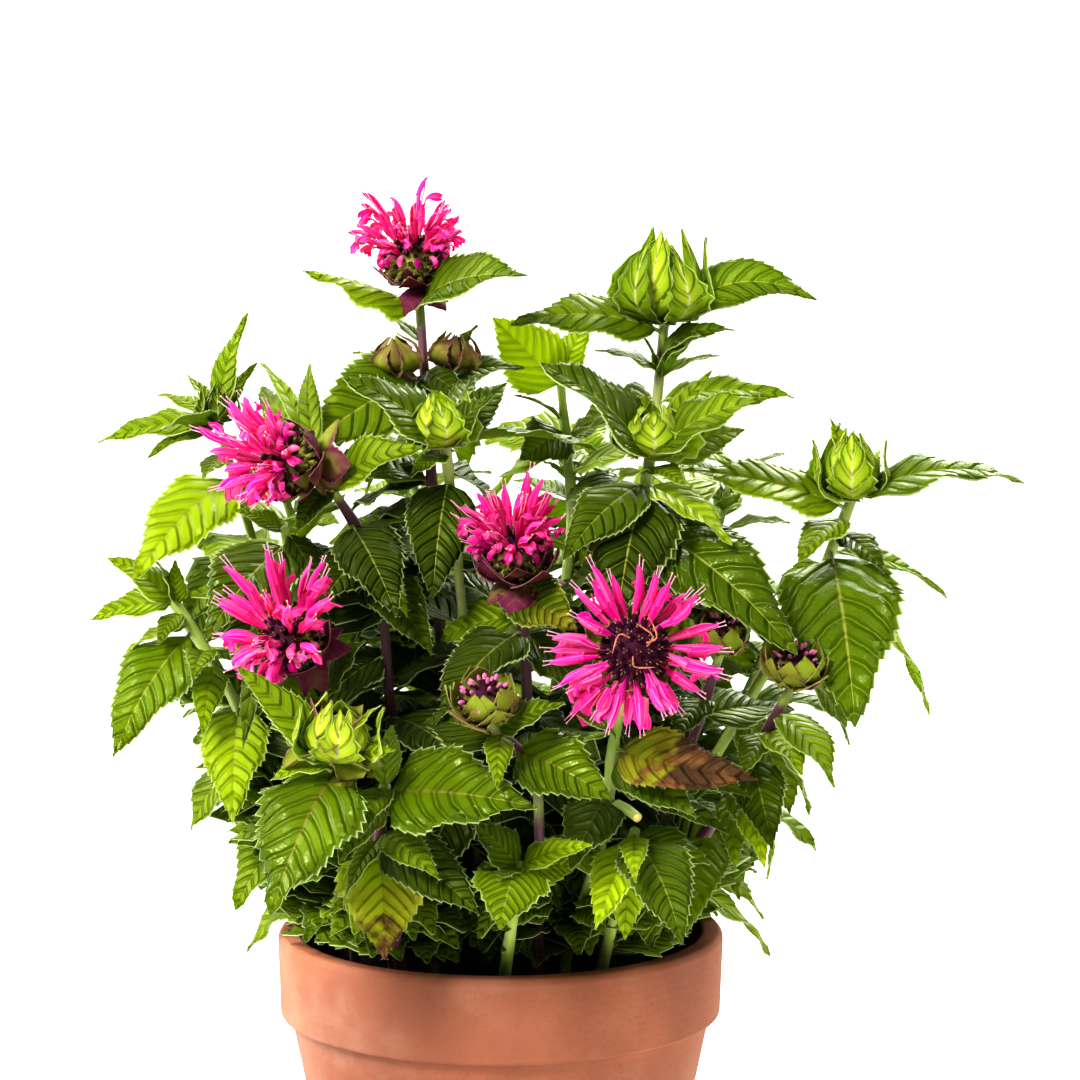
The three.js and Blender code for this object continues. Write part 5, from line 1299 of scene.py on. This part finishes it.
# The young leaves round the top of a back shoot: how many, how far down its stem, and how long.
topLeaves = {"count": 9, "low": 0.13, "long": (15, 40)}
allShoots = {**shoots, **{f"stem_back_{i + 1}": shoot for i, shoot in enumerate(backShoots)}}
shootPieces = {}
stemPaths = {}
leafPoints = []
missed = 0
for index, (name, shoot) in enumerate(allShoots.items()):
    piece = shootPieces[name] = Piece("shoot_" + name[5:])
    points = cadPoints(name)
    path = stemPaths[name] = stemPath(shoot)
    paths = [path]
    for sprig in shoot.get("sprigs", []):
        line = list(curvePoints([seen(*place) for place in sprig], (0, 0.5, 1)))
        line[0] = nearestOn([path], line[0])
        paths.append(line)
    if "leaves" in shoot:
        leaves = frontLeaves(shoot, paths, shoot["leaves"], shoot["looks"])
    else:
        leaves = backLeaves(index - len(shoots) + 1, path)
    bases = [leaf[0] for leaf in leaves]
    purple = shoot.get("purple", 0.35)
    addStem(piece, path, bases, purple, stemForm["foot"], stemForm["top"], index * 13)
    for line in paths[1:]:
        addStem(piece, line, bases, purple, 1.3, 1.5, index * 13 + 1)
    if "bracts" in shoot:
        ahead, end = headOf(shoot["bracts"]["head"])
        addBractStar(piece, shoot["bracts"], end, ahead, shoot["bracts"]["head"] in budHeads, index)
    for bud in shoot.get("buds", []):
        addClosedBud(piece, bud, index)
    if "stub" in shoot:
        addStub(piece, *(seen(*place) for place in shoot["stub"]))
    defaultLook = (0.5, 0.25 * purple + 0.05, 0.35, 0)
    for at, (base, choices, wide, shape, look) in enumerate(leaves):
        tip = tipTaken(choices, points)
        if tip is None:
            missed += 1
            continue
        share = min(1, np.linalg.norm(tip - base) / np.linalg.norm(choices[0] - base))
        look = fullLook(look, defaultLook)
        leafPoints.append(addLeaf(piece, base, tip, wide * share, shape, look, index * 31 + at * 3.7))
    small = shoot.get("small", [])
    smallLeaves = frontLeaves(shoot, paths, small, [0.6] * len(small))
    for at, (base, choices, wide, shape, look) in enumerate(smallLeaves):
        addLeaf(piece, base, choices[0], wide, shape, fullLook(look, defaultLook), index * 7 + at)
    if name in shoots:
        continue
    for k in range(topLeaves["count"]):
        chance = [draw(index * 17 + k * 3.1 + n * 7.7) for n in range(4)]
        share = k / topLeaves["count"]
        base = curvePoint(path, 0.01 + topLeaves["low"] * share)
        long = topLeaves["long"][0] + (topLeaves["long"][1] - topLeaves["long"][0]) * share
        angle = k * turnStep + index
        rise = 0.9 - 1.0 * share + 0.3 * (chance[0] - 0.5)
        tip = base + unit(vec(math.cos(angle), math.sin(angle), rise)) * long * (0.9 + 0.2 * chance[1])
        look = (0.35 + 0.3 * chance[2], 0.1, 0.2, 0)
        grid = addLeaf(piece, base, tip, 0.5 * long, {"arch": 0.1}, look, index * 5 + k, fine=False)
        leafPoints.append(grid)
print("shoots built;", missed, "leaves stand nowhere in the solids")


# Leaves that only fill the inside and the foot of the bush, too many for the solids. Each starts on a stem,
# points outwards, and stays clear of the leaves there are, of the heads, and of what shows in front of it.
fillForm = {
    "tries": 26000, "most": 760, "seed": 11, "long": (30, 54), "wide": 0.66, "lowShare": 0.5,
    "middle": (-4, 4, 256), "size": (128, 118, 122), "lowReach": 0.78,  # the round shape they keep within
    "lowest": (143, 152), "rimInside": 62, "rimOutside": 96, "hangs": 138,  # how low they hang at the rim
    "foot": ((150, 195), (84, 140)),  # heights, and how far aside they reach there
    "gapsFirst": 14000, "anyShare": 0.4, "headClear": 3, "touch": (1, 6),
    "frontTries": 3400, "frontMost": 110, "frontTip": ((-82, 82), (-50, -104), (146, 176)),
    "frontLong": (24, 62), "frontTone": (0.36, 0.34),
    # tones of the fill leaves: painted shade inside the bush, painted light on the outer, sunlit, backlit and
    # low ones
    "tone": 0.11, "outerLitTone": 0.36, "sunTone": 0.3, "backlitTone": 0.2, "lowLitTone": 0.14,
}
# The grids that tell where there are leaves: in space, and in the front view with what shows there.
spaceGrid = {"corner": (-210, -190, 120), "cell": 3.2, "cells": (150, 130, 120)}
viewGrid = {"left": -210, "low": 100, "cell": 4, "cells": (120, 105)}
nothing = 1e9


def shownAt(points):  # where points show in the front view, as the plan gives them
    rays = points - eye
    spots = eye + rays * (view["distance"] / (rays @ sight))[..., None]
    return spots[..., 0], aim[2] + (spots - vec(0, 0, aim[2])) @ sightUp


taken = np.zeros(spaceGrid["cells"], bool)
showing = np.full(viewGrid["cells"], nothing)


def cellsOf(points):
    cells = ((points - vec(*spaceGrid["corner"])) / spaceGrid["cell"]).astype(int)
    return tuple(np.clip(cells, 0, np.array(taken.shape) - 1).T)


def showCells(points):
    across, up = shownAt(points)
    column = ((across - viewGrid["left"]) / viewGrid["cell"]).astype(int)
    row = ((up - viewGrid["low"]) / viewGrid["cell"]).astype(int)
    return np.clip(column, 0, viewGrid["cells"][0] - 1), np.clip(row, 0, viewGrid["cells"][1] - 1)


def markLeaf(points):
    taken[cellsOf(points)] = True
    np.minimum.at(showing, showCells(points), points[:, 1])


for grid in leafPoints:
    finer = np.concatenate([grid[::2, 2:-2].reshape(-1, 3), grid[1::2, 2:-2].reshape(-1, 3)])
    markLeaf(finer)
heads = [(*seen(*head["at"]), 32 if name in blooms else 15) for name, head in {**blooms, **budHeads}.items()]
heads += [(*(seen(*bud["at"]) + vec(0, 0, 0.5 * bud["tall"])), 0.6 * bud["wide"] + 3)
          for shoot in shoots.values() for bud in shoot.get("buds", [])]
headSpots = np.array([[*shownAt(vec(*head[:3])), head[1], head[3]] for head in heads])
pathNames = list(stemPaths)
stemSpots = np.array([curvePoints(path[:-1], np.linspace(0, 1, 31)) for path in stemPaths.values()])
backNames = [name for name in pathNames if name not in shoots]
filled = 0
form = fillForm
for n in range(form["tries"]):
    if filled >= form["most"]:
        break
    atFront = n < form["frontTries"]  # leaves low at the front come first
    if atFront and filled >= form["frontMost"]:
        continue
    chance = [draw(n * 1.37 + k * 17.3 + form["seed"]) for k in range(8)]
    name = pathNames[int(chance[0] * len(pathNames))]
    low = 0.6 if chance[7] < form["lowShare"] else 0.08
    base = curvePoint(stemPaths[name][:-1], low + (0.99 - low) * chance[1])
    if base[2] < form["lowest"][1]:
        continue
    out = math.atan2(base[1] + 8, base[0]) + (chance[2] - 0.5) * 3.2
    shortest, longest = form["long"]
    long = shortest + (longest - shortest) * chance[3]
    rise = 0.35 - 1.25 * chance[4] if low < 0.3 else 0.3 - 0.75 * chance[4]
    tip = base + unit(vec(math.cos(out), math.sin(out), rise)) * long
    if atFront:  # from the stem that stands nearest to a place between the front stems and the rim
        tip = vec(*(start + (end - start) * share
                    for (start, end), share in zip(form["frontTip"], chance[4:])))
        apart = np.linalg.norm(stemSpots - (tip + vec(0, 22, 2)), axis=2)
        stem, spot = np.unravel_index(apart.argmin(), apart.shape)
        name, base = pathNames[stem], stemSpots[stem, spot]
        long = np.linalg.norm(tip - base)
        if base[2] < form["lowest"][0] or not form["frontLong"][0] < long < form["frontLong"][1]:
            continue
    shape = {"arch": 0.08 + 0.08 * chance[5] + 0.08 * atFront, "roll": 24 * (chance[6] - 0.3)}
    s = np.linspace(0.3, 1, 5)
    place, _, _, across = leafCourse(base, tip, shape, s)
    half = bladeHalf(s, form["wide"] * long)[:, None]
    edge = (across * half * 0.7)[:-1]
    probe = np.concatenate([place, place[:-1] + edge, place[:-1] - edge])
    offset = (probe - vec(*form["middle"])) / vec(*form["size"])
    offset[:, 2] *= np.where(offset[:, 2] < 0, form["lowReach"], 1)
    inside = np.linalg.norm(offset, axis=1)
    fromAxis = np.hypot(probe[:, 0], probe[:, 1])
    floor = np.where(fromAxis < form["rimInside"], *form["lowest"])
    floor = np.where(fromAxis > form["rimOutside"], form["hangs"], floor)
    if inside.max() > 1 or (probe[:, 2] < floor).any():
        continue
    if (np.abs(probe[:, 0]) > np.interp(probe[:, 2], *form["foot"])).any():
        continue
    if taken[cellsOf(probe)].sum() > form["touch"][1 if atFront else 0]:
        continue
    nearest = showing[showCells(probe)]
    if (probe[:, 1] < nearest - 3)[nearest < nothing].sum() > 2:
        continue
    free = name in backNames or draw(n * 0.61) < form["anyShare"]
    anyPlace = atFront or n > form["gapsFirst"] and free
    if (nearest == nothing).sum() < 3 and not anyPlace:  # the leaves that close a gap come first
        continue
    across, up = shownAt(probe)
    apart = np.hypot(across[:, None] - headSpots[:, 0], up[:, None] - headSpots[:, 1])
    if ((apart < headSpots[:, 3]) & (probe[:, 1:2] < headSpots[:, 2] + form["headClear"])).any():
        continue
    # The tone paints light and shade by place: dark inside the bush where shade falls, lighter towards the
    # outside and in the sun, lighter for leaves behind, lit through from behind, and lighter low down as
    # painted light against the shade at the foot. Front leaves take a tone range of their own.
    outer = inside.mean()
    tone = form["tone"] + form["outerLitTone"] * max(0, outer - 0.4) * (0.4 + chance[7])
    tone += form["sunTone"] * (outer > 0.75) * chance[7]
    tone += (form["backlitTone"] if tip[1] > 20 else 0) + (form["lowLitTone"] if tip[2] < 185 else 0)
    if atFront:
        tone = form["frontTone"][0] + form["frontTone"][1] * chance[7]
    look = (tone, 0.15 * chance[5], 0.5 * chance[2], 0)
    grid = addLeaf(shootPieces[name], base, tip, form["wide"] * long, shape, look, n * 0.77, fine=False)
    markLeaf(grid[:, 2:-2].reshape(-1, 3))
    filled += 1
print(filled, "leaves fill the inside")

for name, piece in shootPieces.items():
    piece.build([name], "foliage")
print("shoots finished")

for name, bloom in blooms.items():
    piece = Piece(name)
    centre = seen(*bloom["at"])
    ahead = unit(vec(*bloom["axis"]))
    around = frameOf(ahead)
    seed = bloom["seed"]
    addHead(piece, centre, ahead, headRadius, bloomFlat, bloomForm["calyces"], 0, bloom["dark"], seed)
    span = bloom["to"] - bloom["from"]
    for k in range(bloom["florets"] + bloomForm["extra"]):
        late = k - bloom["florets"]  # a second, shorter set fills in between
        place = math.sqrt((late + 0.2) / bloomForm["extra"] if late >= 0 else (k + 0.5) / bloom["florets"])
        lean = math.radians(bloom["from"] + span * place + 12 * draw(k) - 6)
        out = around(k * turnStep + seed)
        upward = (ahead * math.cos(lean) + out * math.sin(lean))[2]
        long = bloom["long"] * (1 - bloom["slim"] * place ** 2) * (1 + bloom["rise"] * (upward - 0.2))
        addFloret(piece, centre, ahead, out, lean, long, seed + k, 0.86 if late >= 0 else 1)
    for k in range(bloomForm["young"]):
        lean = math.radians(bloom["to"] + 10 + 16 * draw(seed + k))
        addHook(piece, centre, ahead, around(k * turnStep + seed + 2), lean, seed + k * 3)
    for k in range(bloom.get("threads", 0)):  # withered threads that lie on the disc
        start = centre + ahead * headRadius * bloomFlat + around(k * 2.2) * 4
        bend = start + ahead * 2 + around(k * 1.9 + 1) * 4
        line = [start, bend, start + ahead * 1.4 + around(k * 1.9 + 2) * 9]
        addTube(piece, curvePoints(line, np.linspace(0, 1, 7)), bloomForm["threadWide"], 5, "withered")
    piece.build([name], "petals")

for name, head in budHeads.items():
    piece = Piece(name)
    ahead = unit(vec(*head["axis"]))
    addHead(piece, seen(*head["at"]), ahead, head["wide"], budFlat, bloomForm["budCalyces"], head["pinkTips"],
            bloomForm["budDark"], 7)
    piece.build([name], "petals")
print("heads built")


# Pot and soil

potForm = {"height": 150, "rim": 90, "foot": 61, "wall": 6, "band": 34, "step": 5, "sides": 96,
           "drain": 5, "drainCircle": 36, "drains": 4, "drainSides": 24, "middle": 12, "ripple": 0.12,
           "bevels": (0, 2.5, 1.2, 1.6, 1.2, 0.9, 2.2, 3, 3, 0)}
soilForm = {"rings": 26, "sectors": 72, "crumb": 1.7, "gap": 0.9, "low": 6.3}
bandFoot = potForm["height"] - potForm["band"]
wallTop = potForm["rim"] - potForm["step"]
innerTop = potForm["rim"] - potForm["wall"] - 3
innerBand = wallTop - potForm["wall"]


def turned(profile, sides, ripple):  # a turned shape, slightly out of round as a thrown pot is
    angles = np.arange(sides) / sides * 2 * math.pi
    rings = []
    for radius, height in profile:
        r = radius + ripple * (np.sin(angles * 3 + height * 0.05) + 0.6 * np.sin(angles * 7 + height * 0.11))
        rings.append(np.stack([np.cos(angles) * r, np.sin(angles) * r, np.full(sides, height)], 1))
    ends = [[0, 0, profile[0][1]], [0, 0, profile[-1][1]]]
    points = np.vstack([*rings, ends])
    below, above = len(points) - 2, len(points) - 1
    lastRing = below - sides
    faces = gridFaces(len(profile), sides, wrap=True).tolist()
    faces += [[below, (k + 1) % sides, k] for k in range(sides)]
    faces += [[above, lastRing + k, lastRing + (k + 1) % sides] for k in range(sides)]
    return points, faces


def bevelled(corners, radius, steps=4):  # a profile with its corners rounded
    rounded = []
    for k, (corner, size) in enumerate(zip(corners, radius)):
        corner = vec(*corner)
        if size == 0 or k in (0, len(corners) - 1):
            rounded.append(corner)
            continue
        before, after = unit(vec(*corners[k - 1]) - corner), unit(vec(*corners[k + 1]) - corner)
        start, end = corner + before * size, corner + after * size
        for t in np.linspace(0, 1, steps):
            rounded.append(start * (1 - t) ** 2 + corner * 2 * t * (1 - t) + end * t * t)
    return rounded


def simpleObject(name, points, faces, material, nodes):
    mesh = bpy.data.meshes.new(name)
    mesh.from_pydata((points * milli).tolist(), [], [list(map(int, f)) for f in faces])
    mesh.polygons.foreach_set("use_smooth", np.ones(len(mesh.polygons), bool))
    mesh.materials.append(material)
    made = bpy.data.objects.new(name, mesh)
    bpy.context.scene.collection.objects.link(made)
    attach(made, "root")
    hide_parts(*nodes)
    return made


def makePot():
    form = potForm
    corners = [(form["middle"], 0), (form["foot"], 0), (wallTop, bandFoot), (form["rim"] - 1, bandFoot),
               (form["rim"], form["height"] - 2), (form["rim"] - 1.5, form["height"]),
               (innerTop, form["height"]), (innerBand, bandFoot - 4),
               (form["foot"] - form["wall"] + 1, form["wall"]), (form["middle"], form["wall"])]
    points, faces = turned(bevelled(corners, form["bevels"]), form["sides"], form["ripple"])
    pot = simpleObject("pot", points, faces, clayMaterial(), ["pot"])
    barPoints, barFaces = [], []
    bar = [(form["drain"], -2), (form["drain"], form["wall"] + 2)]
    for k in range(form["drains"]):
        angle = (k + 0.5) / form["drains"] * 2 * math.pi
        centre = vec(math.cos(angle), math.sin(angle), 0) * form["drainCircle"]
        points, faces = turned(bar, form["drainSides"], 0)
        barFaces += [[corner + len(barPoints) for corner in face] for face in faces]
        barPoints += ((points + centre) * milli).tolist()
    cutDrains(pot, barPoints, barFaces)


def cutDrains(pot, points, faces):  # the drain holes are cut with round bars that are taken away again
    mesh = bpy.data.meshes.new("drainBars")
    mesh.from_pydata(points, [], faces)
    cutter = bpy.data.objects.new("drainBars", mesh)
    bpy.context.scene.collection.objects.link(cutter)
    cut = pot.modifiers.new("drains", "BOOLEAN")
    cut.operation, cut.solver, cut.object = "DIFFERENCE", "EXACT", cutter
    drained = bpy.data.meshes.new_from_object(pot.evaluated_get(bpy.context.evaluated_depsgraph_get()))
    pot.modifiers.clear()
    pot.data = drained
    bpy.data.objects.remove(cutter)


def soilHeight(x, y):
    return soilTop + soilLumps * np.sin(x * 0.13 + 1) * np.cos(y * 0.11) + 0.5 * soilLumps * np.sin(
        x * 0.31 + y * 0.27)


def makeSoil():
    form = soilForm
    rings, sectors = form["rings"], form["sectors"]
    edge = innerBand + (innerTop - innerBand) * ((soilTop - bandFoot + 4) / (potForm["band"] + 4))
    shares = np.linspace(0, 1, rings + 1)[1:] * (edge - form["gap"])
    angles = np.arange(sectors) / sectors * 2 * math.pi
    x = shares[:, None] * np.cos(angles)[None]
    y = shares[:, None] * np.sin(angles)[None]
    crumbs = np.array([[draw(r * 97 + k * 1.7) for k in range(sectors)] for r in range(rings)])
    z = soilHeight(x, y) + (crumbs - 0.5) * form["crumb"]
    z[-1] = soilTop - 1
    z[-2] = z[-2] * 0.5 + (soilTop - 0.5) * 0.5
    top = np.stack([x, y, z], -1).reshape(-1, 3)
    below = ((innerBand - form["gap"], bandFoot - 4), (potForm["foot"] - potForm["wall"] + 0.4, form["low"]))
    sides = [np.stack([np.cos(angles) * r, np.sin(angles) * r, np.full(sectors, h)], 1) for r, h in below]
    middles = [[0, 0, soilHeight(0.0, 0.0)], [0, 0, form["low"]]]
    points = np.vstack([top, *sides, middles])
    above, under = len(points) - 2, len(points) - 1
    lastRing = (rings + 1) * sectors
    faces = gridFaces(rings + 2, sectors, wrap=True)[:, ::-1].tolist()
    faces += [[above, k, (k + 1) % sectors] for k in range(sectors)]
    faces += [[under, lastRing + (k + 1) % sectors, lastRing + k] for k in range(sectors)]
    simpleObject("soil", points, faces, soilMaterial(), ["soil"])


makePot()
makeSoil()
print("pot and soil built")


# Stage, light and camera

stageLook = {"floor": 0.84, "fadeFrom": 0.28, "fadeTo": 1.1, "front": 0.2, "behind": 0.85,
             "key": 44, "back": 34, "leftSide": 16, "fill": 4, "floorSides": 64, "floorReach": 4,
             "exposure": 0.38}


def makeFloor():  # pale under the pot, and white further away
    f = Finish("paleFloor")
    tone = (stageLook["floor"],) * 3
    body = f.add("ShaderNodeBsdfPrincipled", {"Base Color": (*tone, 1), "Roughness": 0.9}).outputs[0]
    place = f.add("ShaderNodeTexCoord").outputs["Object"]
    away = f.add("ShaderNodeVectorMath", {0: place}, operation="LENGTH").outputs["Value"]
    fade = f.between(away, stageLook["fadeFrom"], stageLook["fadeTo"])
    white = f.add("ShaderNodeEmission", {"Color": (1, 1, 1, 1), "Strength": 1.0}).outputs[0]
    sides, reach = stageLook["floorSides"], stageLook["floorReach"]
    angles = [k / sides * 2 * math.pi for k in range(sides)]
    points = [(0, 0, 0)] + [(math.cos(a) * reach, math.sin(a) * reach, 0) for a in angles]
    mesh = bpy.data.meshes.new("floor")
    mesh.from_pydata(points, [], [(0, 1 + k, 1 + (k + 1) % sides) for k in range(sides)])
    mesh.materials.append(f.close(body, white, fade))
    floor = bpy.data.objects.new("floor", mesh)
    bpy.context.scene.collection.objects.link(floor)


def makeWorld():  # white to the camera; it lights the plant from behind more than from the front
    world = bpy.data.worlds.new("studio")
    bpy.context.scene.world = world
    f = Finish("studio", world)
    toSky = f.add("ShaderNodeTexCoord").outputs["Generated"]
    depthward = f.add("ShaderNodeSeparateXYZ", {0: toSky}).outputs[1]
    lighting = f.add("ShaderNodeMapRange", {
        0: depthward, 1: -0.6, 2: 0.8, 3: stageLook["front"], 4: stageLook["behind"]},
        interpolation_type="SMOOTHSTEP").outputs[0]
    light = f.add("ShaderNodeBackground", {"Color": (1, 1, 1, 1), "Strength": lighting}).outputs[0]
    shown = f.add("ShaderNodeBackground", {"Color": (1, 1, 1, 1), "Strength": 1.0}).outputs[0]
    straight = f.add("ShaderNodeLightPath").outputs["Is Camera Ray"]
    choose = f.add("ShaderNodeMixShader", {0: straight, 1: light, 2: shown}).outputs[0]
    f.add("ShaderNodeOutputWorld", {0: choose})


def addLight(name, place, power, size, target=(0.0, 0.0, 0.28)):
    lamp = bpy.data.lights.new(name, "AREA")
    lamp.energy = power
    lamp.size = size
    made = bpy.data.objects.new(name, lamp)
    made.location = place
    way = unit(vec(*target) - vec(*place))
    made.rotation_euler = (math.acos(-way[2]), 0, math.atan2(way[1], way[0]) - math.pi / 2)
    bpy.context.scene.collection.objects.link(made)


def makeCamera():
    camera = bpy.data.cameras.new("photoView")
    camera.lens = view["lens"]
    camera.sensor_width = view["sensor"]
    camera.clip_end = 20
    camera.dof.use_dof = False
    made = bpy.data.objects.new("photoView", camera)
    made.location = eye * milli
    made.rotation_euler = (math.pi / 2 - pitch, 0, 0)
    bpy.context.scene.collection.objects.link(made)
    bpy.context.scene.camera = made


makeFloor()
makeWorld()
addLight("key", (-0.9, -1.3, 1.6), stageLook["key"], 0.6)
addLight("back", (0.5, 1.2, 1.3), stageLook["back"], 0.8)
addLight("leftSide", (-1.4, 0.3, 0.9), stageLook["leftSide"], 0.7)
addLight("fill", (1.3, -1.1, 0.6), stageLook["fill"], 1.0)
makeCamera()
bpy.context.scene.view_settings.view_transform = "Standard"
bpy.context.scene.view_settings.look = "High Contrast"
bpy.context.scene.view_settings.exposure = stageLook["exposure"]
print("stage, lights and camera ready")
